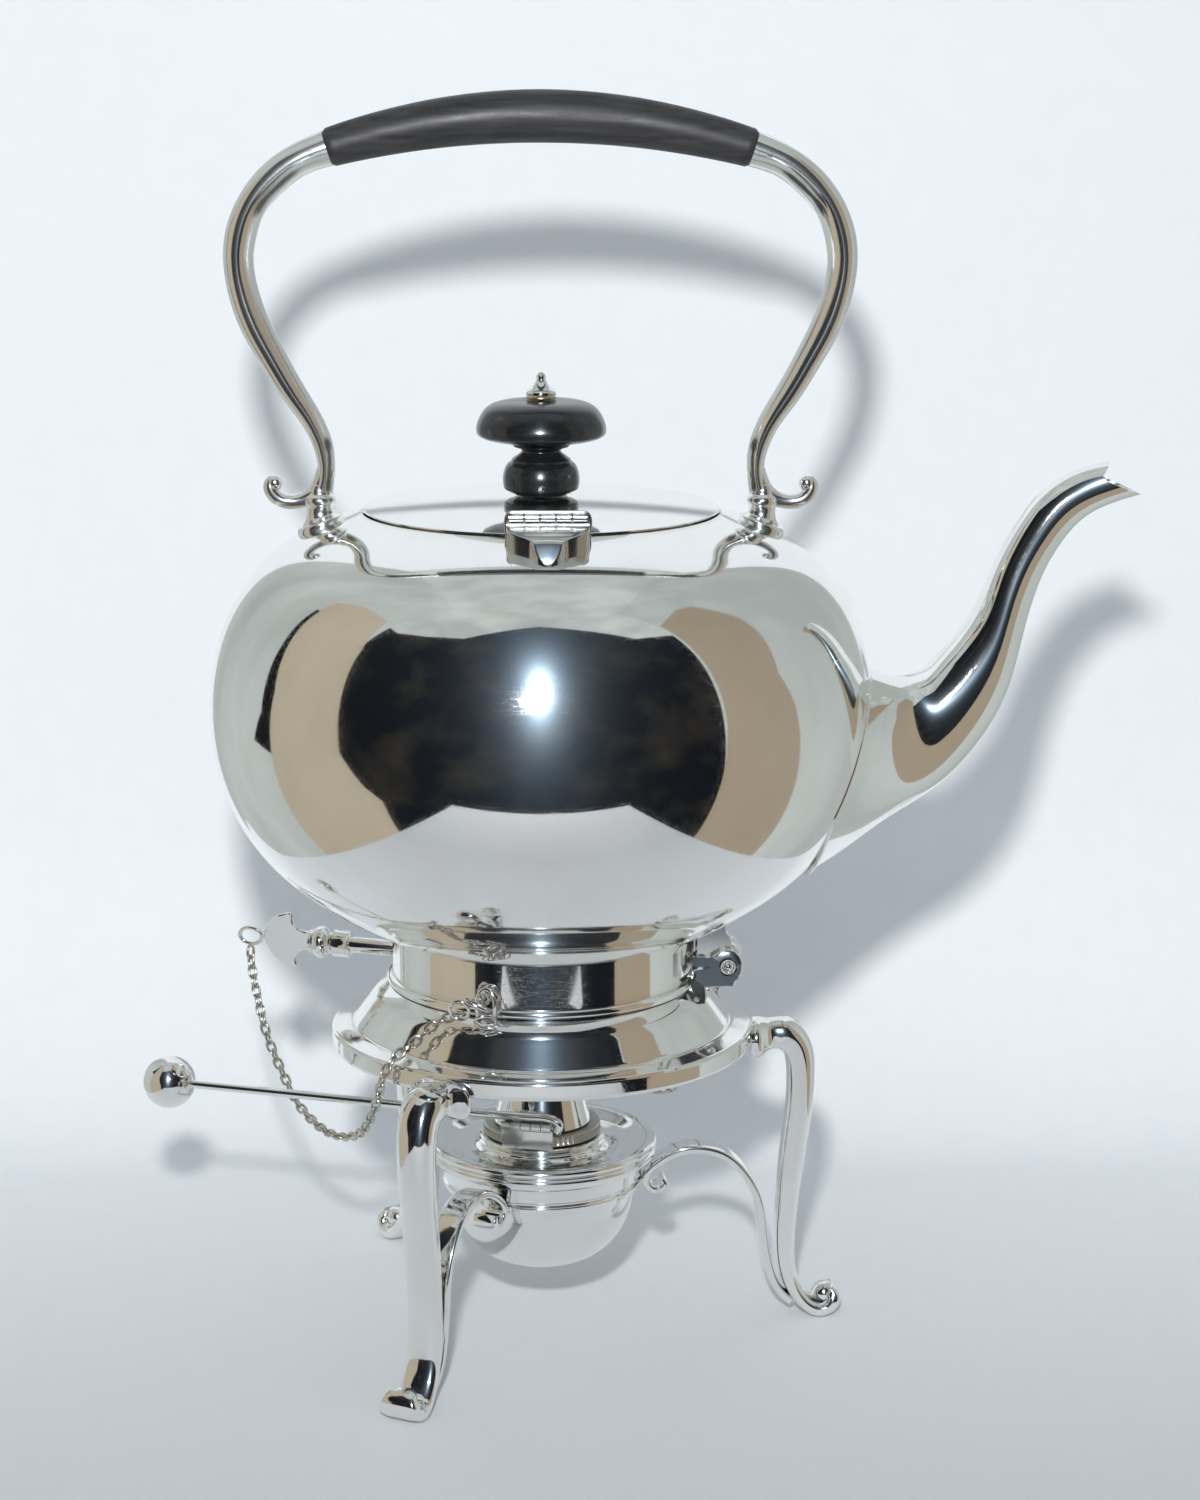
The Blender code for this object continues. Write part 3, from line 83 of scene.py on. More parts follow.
# %% Curves
def spline_through(points, count):
    """Natural cubic spline: piecewise cubics by chord length whose second derivatives, found
    by solving one linear system, meet at every point."""
    p = np.asarray(points, dtype=float)
    chord = np.linalg.norm(np.diff(p[:, :3], axis=0), axis=1)
    t = np.concatenate([[0], np.cumsum(chord)])
    n = len(p)
    system = np.eye(n)
    right = np.zeros_like(p)
    k = np.arange(1, n - 1)
    system[k, k - 1] = chord[:-1]
    system[k, k] = 2 * (chord[:-1] + chord[1:])
    system[k, k + 1] = chord[1:]
    slope = np.diff(p, axis=0) / chord[:, None]
    right[1:-1] = 6 * np.diff(slope, axis=0)
    bend = np.linalg.solve(system, right)
    s = np.linspace(0, t[-1], count)
    j = np.clip(np.searchsorted(t, s, side="right") - 1, 0, n - 2)
    h = chord[j][:, None]
    a = (t[j + 1] - s)[:, None]
    b = (s - t[j])[:, None]
    return (bend[j] * a ** 3 / (6 * h) + bend[j + 1] * b ** 3 / (6 * h)
            + (p[j] / h - bend[j] * h / 6) * a + (p[j + 1] / h - bend[j + 1] * h / 6) * b)


def fair_curve(points, degree, count):
    """Least-squares polynomial in the chord length, with the two ends held by a heavy weight."""
    end_weight = 30
    p = np.asarray(points, dtype=float)
    t = np.concatenate([[0], np.cumsum(np.linalg.norm(np.diff(p, axis=0), axis=1))])
    t = t / t[-1]
    weight = np.ones(len(t))
    weight[[0, -1]] = end_weight
    s = np.linspace(0, 1, count)
    columns = [np.polynomial.Polynomial.fit(t, p[:, c], degree, w=weight)(s) for c in range(p.shape[1])]
    return np.stack(columns, axis=1)


# %% Outlines
def softened(outline, radius, steps=5, closed=False):
    """Round each corner of an outline with an arc of about this radius.

    A corner is replaced by a quadratic curve between two points set back along its sides by
    the radius, or by less on a short side. One more point a little beyond each of the two
    keeps the flats flat under smooth shading.
    """
    most_of_side, beyond = 0.42, 1.15
    p = np.asarray(outline, dtype=float)
    n = len(p)
    made = []
    for k in range(n):
        if not closed and k in (0, n - 1):
            made.append(p[k][None])
            continue
        before, here, after = p[k - 1], p[k], p[(k + 1) % n]
        a, b = before - here, after - here
        la, lb = np.linalg.norm(a), np.linalg.norm(b)
        back = min(radius, most_of_side * la, most_of_side * lb)
        start, end = here + a / la * back, here + b / lb * back
        t = np.linspace(0, 1, steps + 1)[:, None]
        bow = (1 - t) ** 2 * start + 2 * t * (1 - t) * here + t ** 2 * end
        made += [(here + a / la * back * beyond)[None], bow, (here + b / lb * back * beyond)[None]]
    return np.concatenate(made)


def offset_outline(outline, distance):
    """Each point moved to the left of its direction of travel by a distance."""
    p = np.asarray(outline, dtype=float)
    along = np.gradient(p, axis=0)
    along /= np.linalg.norm(along, axis=1)[:, None]
    return p + distance * np.stack([-along[:, 1], along[:, 0]], axis=1)


print("curves ready")


# %% Meshes
merge_distance = 0.000002
slanted = (0.31, 0.52, 0.79)  # a direction that no wire or pin here runs along


def linked(name, data):
    """A new object in the scene for a mesh, a lamp or a camera."""
    item = bpy.data.objects.new(name, data)
    bpy.context.scene.collection.objects.link(item)
    return item


def mesh_piece(name, points, faces, angle=40):
    """A smooth-shaded object at the origin from an array of points and a list of faces."""
    mesh = bpy.data.meshes.new(name)
    mesh.from_pydata(points.reshape(-1, 3).tolist(), [], faces)
    shape = bmesh.new()
    shape.from_mesh(mesh)
    bmesh.ops.remove_doubles(shape, verts=shape.verts, dist=merge_distance)
    bmesh.ops.recalc_face_normals(shape, faces=shape.faces)
    if shape.calc_volume(signed=True) < 0:
        bmesh.ops.reverse_faces(shape, faces=shape.faces)
    shape.to_mesh(mesh)
    shape.free()
    mesh.shade_smooth()
    mesh.set_sharp_from_angle(angle=radians(angle))
    return linked(name, mesh)


def grid_faces(rows, columns, ring_closed=True, rows_closed=False):
    """Quads between neighbouring rows and columns, by index arithmetic."""
    r = np.arange(rows if rows_closed else rows - 1)
    c = np.arange(columns if ring_closed else columns - 1)
    r, c = np.meshgrid(r, c, indexing="ij")
    r2, c2 = (r + 1) % rows, (c + 1) % columns
    quads = np.stack([r * columns + c, r * columns + c2, r2 * columns + c2, r2 * columns + c], axis=-1)
    return quads.reshape(-1, 4).tolist()


def grid_piece(name, grid, caps=True, rows_closed=False, angle=40):
    """A tube-like grid made a mesh, its two open ends closed by flat caps."""
    rows, columns = grid.shape[:2]
    faces = grid_faces(rows, columns, rows_closed=rows_closed)
    if caps and not rows_closed:
        faces += [list(range(columns)), list(range((rows - 1) * columns, rows * columns))]
    return mesh_piece(name, grid, faces, angle)


# %% Turned pieces
def revolve(outline, columns, centre):
    """Grid of an outline of (radius, height) turned about an upright axis."""
    p = np.asarray(outline, dtype=float)
    angle = np.linspace(0, 2 * pi, columns, endpoint=False)
    r, z = p[:, 0][:, None], p[:, 1][:, None] + 0 * angle
    return np.stack([axis_x + centre[0] + r * np.cos(angle), centre[1] + r * np.sin(angle), z], axis=-1)


def turned_piece(name, outline, columns, closed=False, centre=(0, 0)):
    """A turned piece. An open outline starts and ends on the axis, a closed one is a ring."""
    return grid_piece(name, revolve(outline, columns, centre), caps=False, rows_closed=closed)


def around(angle, reach, height, across=0.0):
    """Points at an angle round the kettle's axis: out from it by reach, and to the side by
    across. The last three may be numbers or arrays."""
    reach, height, across = np.broadcast_arrays(reach, height, across)
    c, s = cos(radians(angle)), sin(radians(angle))
    return np.stack([axis_x + reach * c - across * s, reach * s + across * c, height], axis=-1)


# %% Wires, plates and finishing a piece
def fused(name, *items, angle=40):
    """Several shapes of one piece in one object."""
    shape = bmesh.new()
    for item in items:
        shape.from_mesh(item.data)
        bpy.data.objects.remove(item, do_unlink=True)
    mesh = bpy.data.meshes.new(name)
    shape.to_mesh(mesh)
    shape.free()
    mesh.shade_smooth()
    mesh.set_sharp_from_angle(angle=radians(angle))
    return linked(name, mesh)


def wire_grid(path, radius, columns=16):
    """A round section carried along a path, turned as little as it can be from point to point."""
    p = np.asarray(path, dtype=float)
    along = np.gradient(p, axis=0)
    along /= np.linalg.norm(along, axis=1)[:, None]
    side = np.cross(along[0], slanted)
    sides = []
    for direction in along:
        side = side - direction * (side @ direction)
        side = side / np.linalg.norm(side)
        sides.append(side)
    sides = np.array(sides)
    other = np.cross(along, sides)
    angle = np.linspace(0, 2 * pi, columns, endpoint=False)
    r = np.broadcast_to(np.asarray(radius, dtype=float), (len(p),))[:, None, None]
    ring = sides[:, None] * np.cos(angle)[None, :, None] + other[:, None] * np.sin(angle)[None, :, None]
    return p[:, None] + r * ring


def ball_piece(name, centre, radius, columns=48):
    """A sphere as a half circle of heights turned about its own axis."""
    a = np.linspace(0, pi, columns // 2 + 1)
    outline = np.stack([radius * np.sin(a), centre[2] + radius * np.cos(a)], axis=1)
    return turned_piece(name, outline, columns, centre=(centre[0] - axis_x, centre[1]))


def spun_piece(name, start, along, profile, columns, angle=40):
    """A profile of (distance along a straight axis, radius) turned about that axis.

    point = start + distance * along + radius * (side * cos(angle) + other * sin(angle))
    """
    p = np.asarray(profile, dtype=float)
    along = np.asarray(along, dtype=float) / np.linalg.norm(along)
    side = np.cross(along, slanted)
    side /= np.linalg.norm(side)
    turn = np.linspace(0, 2 * pi, columns, endpoint=False)[:, None]
    ring = side * np.cos(turn) + np.cross(along, side) * np.sin(turn)
    grid = np.asarray(start) + p[:, 0][:, None, None] * along + p[:, 1][:, None, None] * ring
    return grid_piece(name, grid, caps=False, angle=angle)


def plate_piece(name, outline, thickness, bevel, origin, axes, angle=50):
    """A flat closed outline with softened edges, laid out from an origin along two axes.

    Four copies of the outline make the edge: the outer two are moved in by the bevel.
    """
    p = np.asarray(outline, dtype=float)
    along = np.roll(p, -1, axis=0) - np.roll(p, 1, axis=0)
    along /= np.linalg.norm(along, axis=1)[:, None]
    area = np.sum(p[:, 0] * np.roll(p[:, 1], -1) - np.roll(p[:, 0], -1) * p[:, 1])
    inward = np.stack([-along[:, 1], along[:, 0]], axis=1) * np.sign(area)
    small = p + bevel * inward
    across, up = (np.asarray(v, dtype=float) for v in axes)
    normal, half = np.cross(across, up), thickness / 2
    rows = [(small, -half), (p, bevel - half), (p, half - bevel), (small, half)]
    grid = np.stack([np.asarray(origin) + q[:, :1] * across + q[:, 1:] * up + t * normal for q, t in rows])
    return grid_piece(name, grid, angle=angle)


def torus_piece(name, centre, first, second, radii, wire):
    """A wire ring: an ellipse about a centre along two axes, with a round section."""
    rows, columns = 40, 14
    a = np.linspace(0, 2 * pi, rows, endpoint=False)[:, None]
    b = np.linspace(0, 2 * pi, columns, endpoint=False)[None, :, None]
    first, second = np.asarray(first, dtype=float), np.asarray(second, dtype=float)
    line = radii[0] * np.cos(a) * first + radii[1] * np.sin(a) * second
    outward = radii[1] * np.cos(a) * first + radii[0] * np.sin(a) * second
    outward /= np.linalg.norm(outward, axis=1)[:, None]
    normal = np.cross(first, second)
    grid = np.asarray(centre) + line[:, None] + wire * (outward[:, None] * np.cos(b) + normal * np.sin(b))
    return grid_piece(name, grid, rows_closed=True)


def dress(piece, material, body, *nodes):
    """Give a piece its finish and its body, and let it stand for frame nodes."""
    piece.data.materials.clear()
    piece.data.materials.append(material)
    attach(piece, body)
    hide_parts(*nodes)


print("mesh helpers ready")

# %% [markdown]
# ## Finishes
# The kettle is polished silver with the fine, crossing hairlines of years of polishing, and a
# faint warm tarnish where a cloth doesn't reach. Hairlines are narrow bands of stretched
# noise that lift the roughness a little. Tarnish follows the creases of the surface, which
# the Geometry node's pointiness finds on a fine mesh. The knob is black and glossy, and the
# grip is a duller black, rubbed by hands.

# %% Material helpers
def add_node(tree, kind, inputs, **settings):
    """A new node with its settings. Each input, by its name or place, is linked to a socket
    or set to a value."""
    node = tree.nodes.new("ShaderNode" + kind)
    for key, value in settings.items():
        setattr(node, key, value)
    for key, value in inputs.items():
        if isinstance(value, bpy.types.NodeSocket):
            tree.links.new(value, node.inputs[key])
        else:
            node.inputs[key].default_value = value
    return node


def new_material(name, colour, roughness, metallic):
    """A Principled material with its tree and its shader."""
    material = bpy.data.materials.new(name)
    material.use_nodes = True
    shader = material.node_tree.nodes["Principled BSDF"]
    shader.inputs["Base Color"].default_value = (*colour, 1)
    shader.inputs["Roughness"].default_value = roughness
    shader.inputs["Metallic"].default_value = metallic
    return material, material.node_tree, shader


def coordinates(tree, scale, turn=(0, 0, 0)):
    """Object coordinates through a Mapping node, in metres times a scale."""
    place = add_node(tree, "TexCoord", {}).outputs["Object"]
    return add_node(tree, "Mapping", {"Vector": place, "Scale": scale, "Rotation": turn}).outputs["Vector"]


def noise(tree, vector, scale=1.0, detail=3.0, roughness=0.5):
    """Cloudy noise between 0 and 1, with more and finer clouds at a higher detail."""
    inputs = {"Vector": vector, "Scale": scale, "Detail": detail, "Roughness": roughness}
    return add_node(tree, "TexNoise", inputs).outputs["Fac"]


def ramp(tree, value, low, high, start=0.0, end=1.0):
    """Map a value from low to high onto start to end, held at both."""
    inputs = {"Value": value, "From Min": low, "From Max": high, "To Min": start, "To Max": end}
    return add_node(tree, "MapRange", inputs).outputs["Result"]


def calculate(tree, operation, *values):
    """One step of arithmetic on numbers."""
    return add_node(tree, "Math", dict(enumerate(values)), operation=operation).outputs["Value"]


def calculate_vector(tree, operation, *vectors):
    """One step of arithmetic on vectors or colours."""
    node = add_node(tree, "VectorMath", dict(enumerate(vectors)), operation=operation)
    return node.outputs["Value" if operation == "LENGTH" else "Vector"]


def mix_colour(tree, share, first, second):
    """The first colour where the share is 0 and the second where it is 1."""
    first, second = ((*colour, 1) if isinstance(colour, tuple) else colour for colour in (first, second))
    inputs = {"Factor": share, "A": first, "B": second}
    return add_node(tree, "Mix", inputs, data_type="RGBA").outputs["Result"]


# %% Bumps and hairlines
def bump_from(tree, shader, height, strength, depth):
    """Let a pattern tilt the shading as if it stood up by a depth in metres."""
    bump = add_node(tree, "Bump", {"Height": height, "Strength": strength, "Distance": depth})
    tree.links.new(bump.outputs["Normal"], shader.inputs["Normal"])


def hairlines(tree, scale, turn, width):
    """Fine scratches: a noise stretched along one direction, kept only in a narrow band."""
    stretched = noise(tree, coordinates(tree, scale, turn), detail=1.0)
    away = calculate(tree, "ABSOLUTE", calculate(tree, "SUBTRACT", stretched, 0.5))
    return ramp(tree, away, 0.0, width, 1.0, 0.0)


print("material helpers ready")


# %% Silver
bright_silver, warm_tarnish = (0.93, 0.925, 0.905), (0.50, 0.42, 0.29)


def silver_finish(name, tarnish=0.35, roughness=0.035, haze=0.12, pale=bright_silver, spread=0.40):
    """Polished silver: pale mirror, crossing hairlines, warm tarnish in the creases, and over
    it a weak, rough coat for the haze of scratches too fine to see.

    roughness = clouds between roughness and 2.2 * roughness + 0.05 where a hairline runs
    dullness = tarnish * the greater of the crease and a quarter of the patches
    """
    material, tree, shader = new_material(name, pale, roughness, 1.0)
    shader.inputs["Coat Weight"].default_value = haze
    shader.inputs["Coat Roughness"].default_value = spread
    lines = hairlines(tree, (900, 70, 500), (0.2, 0.5, 0.3), 0.006)
    cross = hairlines(tree, (60, 800, 700), (0.9, 0.1, 1.2), 0.005)
    both = calculate(tree, "MAXIMUM", lines, cross)
    cloud = noise(tree, coordinates(tree, (30, 30, 30)), detail=4.0)
    level = ramp(tree, cloud, 0.35, 0.75, roughness, roughness * 2.2)
    level = calculate(tree, "ADD", level, calculate(tree, "MULTIPLY", both, 0.05))
    tree.links.new(level, shader.inputs["Roughness"])
    crease = ramp(tree, add_node(tree, "NewGeometry", {}).outputs["Pointiness"], 0.40, 0.49, 1.0, 0.0)
    patches = ramp(tree, noise(tree, coordinates(tree, (60, 60, 60)), detail=5.0), 0.45, 0.75)
    dull = calculate(tree, "MAXIMUM", crease, calculate(tree, "MULTIPLY", patches, 0.25))
    dull = calculate(tree, "MULTIPLY", dull, tarnish)
    tree.links.new(mix_colour(tree, dull, pale, warm_tarnish), shader.inputs["Base Color"])
    bump_from(tree, shader, both, 0.05, 0.00002)
    return material


silver = silver_finish("polished_silver")
cast_silver = silver_finish("cast_silver", tarnish=0.6, roughness=0.08, haze=0.35)
arm_silver = silver_finish("arm_silver", tarnish=0.4, roughness=0.11, haze=0.9, spread=0.50)
hinge_silver = silver_finish("hinge_silver", tarnish=0.8, roughness=0.12, haze=0.5, pale=(0.60, 0.60, 0.585))
chain_silver = silver_finish("chain_silver", tarnish=0.9, roughness=0.10, haze=0.2, pale=(0.62, 0.60, 0.55))
milled_metal = silver_finish("milled_metal", tarnish=0.8, roughness=0.22, haze=0.5, pale=(0.52, 0.50, 0.45))
print("silver finishes:", [m.name for m in (silver, cast_silver, arm_silver, hinge_silver, chain_silver,
                                            milled_metal)])


# %% Blacks, brass and cotton
dust = (0.16, 0.15, 0.14)


def black_finish(name, roughness, coat, dark, light, grit=0.35):
    """Black polished horn or wood: dark, faintly mottled along X, with dust-fine specks, rub
    marks and a few scuffs that lift the roughness."""
    material, tree, shader = new_material(name, dark, roughness, 0.0)
    shader.inputs["Coat Weight"].default_value = coat
    shader.inputs["Coat Roughness"].default_value = 0.12
    grain = noise(tree, coordinates(tree, (60, 700, 700)), detail=6.0)
    colour = mix_colour(tree, ramp(tree, grain, 0.3, 0.8), dark, light)
    specks = ramp(tree, noise(tree, coordinates(tree, (2600, 2600, 2600)), detail=2.0), 0.70, 0.78)
    colour = mix_colour(tree, calculate(tree, "MULTIPLY", specks, grit), colour, dust)
    tree.links.new(colour, shader.inputs["Base Color"])
    rub = noise(tree, coordinates(tree, (40, 160, 160)), detail=6.0, roughness=0.7)
    rub = ramp(tree, rub, 0.3, 0.7, roughness * 0.8, roughness * 1.25)
    scuffs = hairlines(tree, (120, 900, 900), (0.1, 0.2, 0.4), 0.010)
    level = calculate(tree, "ADD", rub, calculate(tree, "MULTIPLY", scuffs, 0.12))
    tree.links.new(level, shader.inputs["Roughness"])
    bump_from(tree, shader, grain, 0.25, 0.00008)
    return material


horn = black_finish("black_horn", 0.22, 0.3, (0.006, 0.007, 0.008), (0.020, 0.023, 0.026))
grip_black = black_finish("black_grip", 0.44, 0.0, (0.012, 0.012, 0.013), (0.045, 0.044, 0.046), 0.9)


def brass_finish():
    """Worn brass: yellow metal, browned and duller in patches."""
    yellow, browned = (0.74, 0.60, 0.36), (0.42, 0.31, 0.17)
    material, tree, shader = new_material("worn_brass", yellow, 0.25, 1.0)
    patches = noise(tree, coordinates(tree, (300, 300, 300)), detail=5.0)
    colour = mix_colour(tree, ramp(tree, patches, 0.35, 0.7), yellow, browned)
    tree.links.new(colour, shader.inputs["Base Color"])
    tree.links.new(ramp(tree, patches, 0.3, 0.7, 0.18, 0.42), shader.inputs["Roughness"])
    return material


def cotton_finish():
    """Plaited wick: rows of fine bumps on off-white cotton, scorched over its last 3 mm."""
    clean, scorched, burnt_length = (0.62, 0.56, 0.45), (0.05, 0.04, 0.035), 0.003
    material, tree, shader = new_material("wick_cotton", clean, 0.95, 0.0)
    plait = {"Vector": coordinates(tree, (1400, 1400, 900)), "Scale": 1.0}
    bump_from(tree, shader, add_node(tree, "TexVoronoi", plait).outputs["Distance"], 0.6, 0.0002)
    height = add_node(tree, "SeparateXYZ", {"Vector": coordinates(tree, (1, 1, 1))}).outputs["Z"]
    wick_top = float(box_of("wick")[1][2])
    burnt = ramp(tree, height, wick_top - burnt_length, wick_top)
    tree.links.new(mix_colour(tree, burnt, clean, scorched), shader.inputs["Base Color"])
    return material


brass = brass_finish()
cotton = cotton_finish()
print("other finishes:", [m.name for m in (horn, grip_black, brass, cotton)])

# %% [markdown]
# ## The kettle's body
# The body is one sheet of silver raised into a squat gourd, so its side is one fair curve.
# Its outline is measured at a dozen heights as shares of the widest radius and of the height.
# A subdivided cage could be pulled to them, but a polynomial that passes close to them has no
# place where its bend changes at once. Moved inwards by the sheet's thickness, the same curve
# gives the inside, and a rounded lip joins the two at the mouth.

# %% Body
body_wall = 0.0012
body_shares = np.array([
    (0.463, 0.000), (0.561, 0.029), (0.692, 0.089), (0.824, 0.177), (0.932, 0.296), (0.985, 0.417),
    (0.996, 0.549), (0.978, 0.673), (0.914, 0.796), (0.808, 0.895), (0.669, 0.958), (0.536, 1.000)])
seat_width, seat_rounding, bottom_sag = 0.0032, 0.0005, 0.0042
lip_bulge = (0.3, 0.6)


def real_size(shares):
    """Shares of the body's radius and height as distances from the axis and heights."""
    return shares * (body_radius, mouth_z - seat_z) + (0, seat_z)


def body_side(count=160):
    """Fair curve through the measured shares, from the seat's edge up to the mouth."""
    return real_size(fair_curve(body_shares, 8, count))


error = np.linalg.norm(body_side(1200)[None] - real_size(body_shares)[:, None], axis=2).min(axis=1)
print("body curve misses its measured points by at most %.2f mm" % (error.max() * 1000))


def body_outline():
    """The whole section: bottom, seat, side, lip, inside and back to the axis. The bottom's
    height falls with the square of the radius, and half an ellipse closes the lip."""
    outer = body_side()
    seat_in = outer[0, 0] - seat_width
    inner = offset_outline(outer, body_wall)
    turn = np.linspace(0, pi, 7)[1:-1, None]
    middle, half = (outer[-1] + inner[-1]) / 2, (outer[-1] - inner[-1]) / 2
    rise = np.array([-half[1], half[0]])
    lip = middle + np.cos(turn) * half + np.sin(turn) * np.abs(rise) * lip_bulge
    share = np.linspace(0, 1, 14)[:-1, None]
    bottom_out = np.concatenate([seat_in * share, seat_z - bottom_sag * (1 - share ** 2)], axis=1)
    bottom_in = bottom_out[::-1] + (0, body_wall)
    foot = softened([bottom_out[-1], (seat_in, seat_z), outer[0], outer[3]], seat_rounding)[1:-1]
    keep = inner[:, 1] > seat_z + body_wall
    return np.concatenate([bottom_out, foot, outer[4:], lip, inner[keep][::-1], bottom_in])


def body_height_at(radius):
    """The height of the body's shoulder at a radius, read off the upper part of its side."""
    outer = body_side()
    upper = outer[np.argmax(outer[:, 0]):][::-1]
    return np.interp(radius, upper[:, 0], upper[:, 1])


def sunk(grid, depth=0.0006):
    """A grid whose low points are raised to just under the body's shoulder, so that nothing
    shows inside."""
    radius = np.hypot(grid[..., 0] - axis_x, grid[..., 1])
    grid[..., 2] = np.maximum(grid[..., 2], body_height_at(radius) - depth)
    return grid


body = turned_piece("body_shell", body_outline(), 224)
dress(body, silver, "kettle", "kettle_body")
print("body shell:", len(body.data.polygons), "faces")

# %% [markdown]
# ## The spout
# The swan-neck spout is a tube whose height and width change along a bent path. Its upper and
# lower outlines are measured from the side, and one spline carries both edges and the width
# along. Each line of points along the tube starts where it meets the body and stops at the
# mouth, where two slanting cuts leave a short upper lip and a long lower one. A boolean cut
# would leave ragged facets there, and silver would show them.

# %% Spout
spout_wall, root_bead_wire, root_depth = 0.0011, 0.0006, 0.0002
spout_stations = [  # upper edge, lower edge, half width
    ((0.0840, 0.1850), (0.0700, 0.1285), 0.0370), ((0.0920, 0.1816), (0.0812, 0.1348), 0.0229),
    ((0.0997, 0.1821), (0.0919, 0.1423), 0.0156), ((0.1052, 0.1865), (0.1060, 0.1516), 0.0126),
    ((0.1109, 0.1932), (0.1173, 0.1641), 0.0112), ((0.1155, 0.2008), (0.1249, 0.1790), 0.0099),
    ((0.1190, 0.2097), (0.1290, 0.1962), 0.0086), ((0.1225, 0.2172), (0.1326, 0.2080), 0.0075),
    ((0.1271, 0.2249), (0.1370, 0.2165), 0.0069), ((0.1327, 0.2316), (0.1423, 0.2231), 0.0065),
    ((0.1410, 0.2367), (0.1498, 0.2276), 0.0063), ((0.1497, 0.2390), (0.1582, 0.2303), 0.0062),
    ((0.1590, 0.2402), (0.1672, 0.2325), 0.0060)]
upper_tip = np.array([0.1497, 0.2390])
lower_tip = np.array([0.1582, 0.2303])
mouth_notch = np.array([0.1469, 0.2352])


def body_radius_at(z, depth):
    """The radius at a height of the surface a depth under the body's outside."""
    outer = offset_outline(body_side(), depth)
    return np.interp(z, outer[:, 1], outer[:, 0])


def spout_grid(inset, rows=150, columns=96, fine=900):
    """Ellipses between the two outlines, each line of points cut at the body and the mouth.

    A point is middle + half height * cos(angle) + width * sin(angle). The root is where the
    line's distance from the kettle's axis passes the body's radius, the mouth where it passes
    the nearer of the two slanting cuts, and the line is spread evenly between them.
    """
    f = spline_through([(*u, *l, w) for u, l, w in spout_stations], fine)
    upper, lower, wide = f[:, 0:2], f[:, 2:4], f[:, 4]
    middle, half = (upper + lower) / 2, (upper - lower) / 2
    length = np.linalg.norm(half, axis=1)
    half = half * ((length - inset) / length)[:, None]
    angle = np.linspace(0, 2 * pi, columns, endpoint=False)
    x = middle[:, 0][:, None] + half[:, 0][:, None] * np.cos(angle)
    z = middle[:, 1][:, None] + half[:, 1][:, None] * np.cos(angle)
    y = (wide - inset)[:, None] * np.sin(angle)
    outside = np.hypot(x, y) > body_radius_at(z, root_depth)

    def above(tip):
        run, rise = tip - mouth_notch
        return run * (z - mouth_notch[1]) - rise * (x - mouth_notch[0])

    cut_away = (above(lower_tip) > 0) & (above(upper_tip) < 0)
    outer_half = (np.arange(fine) > fine // 2)[:, None]
    first, last = np.argmax(outside, axis=0), np.argmax(cut_away & outer_half, axis=0)
    share = np.linspace(0, 1, rows)[:, None]
    row = first + (last - first) * share
    low = np.floor(row).astype(int)
    t, high = row - low, np.minimum(low + 1, fine - 1)
    column = np.arange(columns)[None, :]
    return np.stack([v[low, column] * (1 - t) + v[high, column] * t for v in (axis_x + x, y, z)], axis=-1)


def make_spout():
    """Outside and inside as one closed ring of rows, with a fine wire round the root that
    overlaps itself by a few points."""
    outer, inner = spout_grid(0), spout_grid(spout_wall)
    shell = grid_piece("spout_wall", np.concatenate([outer, inner[::-1]]), rows_closed=True, angle=50)
    root = np.concatenate([outer[0], outer[0, :6]])
    bead = grid_piece("root_bead", wire_grid(root, root_bead_wire, 12))
    return fused("spout_shell", shell, bead, angle=50)


spout = make_spout()
dress(spout, silver, "kettle", "spout")
print("spout:", len(spout.data.polygons), "faces")

# %% [markdown]
# ## The handle
# Each arm is a cast rod, round at the grip and thinner below, that swells out and comes in
# again over the shoulder. A short tail curls outwards from its foot and ends in a bud. The
# foot flares where it is soldered to the body. Two bevelled curves would do for a plain rod,
# but here the thickness, the width and the section all change on the way, so a section between
# a circle and a rounded lozenge is carried along the arm's spline. The grip between the arms
# is a round black bar, a little arched and thickest in the middle.

# %% Handle arms
arm_stations = [  # place, half thickness, half width
    ((0.0550, 0.3202), 0.0047, 0.0047), ((0.0626, 0.3172), 0.0043, 0.0046), ((0.0695, 0.3121), 0.0043, 0.0045),
    ((0.0748, 0.3056), 0.0040, 0.0044), ((0.0778, 0.2975), 0.0041, 0.0043), ((0.0784, 0.2930), 0.0040, 0.0042),
    ((0.0775, 0.2842), 0.0040, 0.0041), ((0.0743, 0.2745), 0.0040, 0.0040), ((0.0698, 0.2658), 0.0037, 0.0038),
    ((0.0647, 0.2570), 0.0034, 0.0036), ((0.0595, 0.2488), 0.0029, 0.0033), ((0.0570, 0.2423), 0.0026, 0.0031),
    ((0.0565, 0.2359), 0.0023, 0.0030), ((0.0576, 0.2300), 0.0027, 0.0031)]
tail_stations = [  # reach, height, radius
    (0.0566, 0.2370, 0.0024), (0.0581, 0.2325, 0.0025), (0.0610, 0.2296, 0.0022), (0.0648, 0.2284, 0.0020),
    (0.0684, 0.2288, 0.0020), (0.0707, 0.2308, 0.0020), (0.0712, 0.2330, 0.0018), (0.0703, 0.2344, 0.0014)]
bud_reach, bud_z, bud_radius = 0.0700, 0.2333, 0.0022
foot_reach, foot_top, foot_low, foot_rounding = 0.0583, 0.2290, 0.2226, 0.0004
inner_power = 1.6
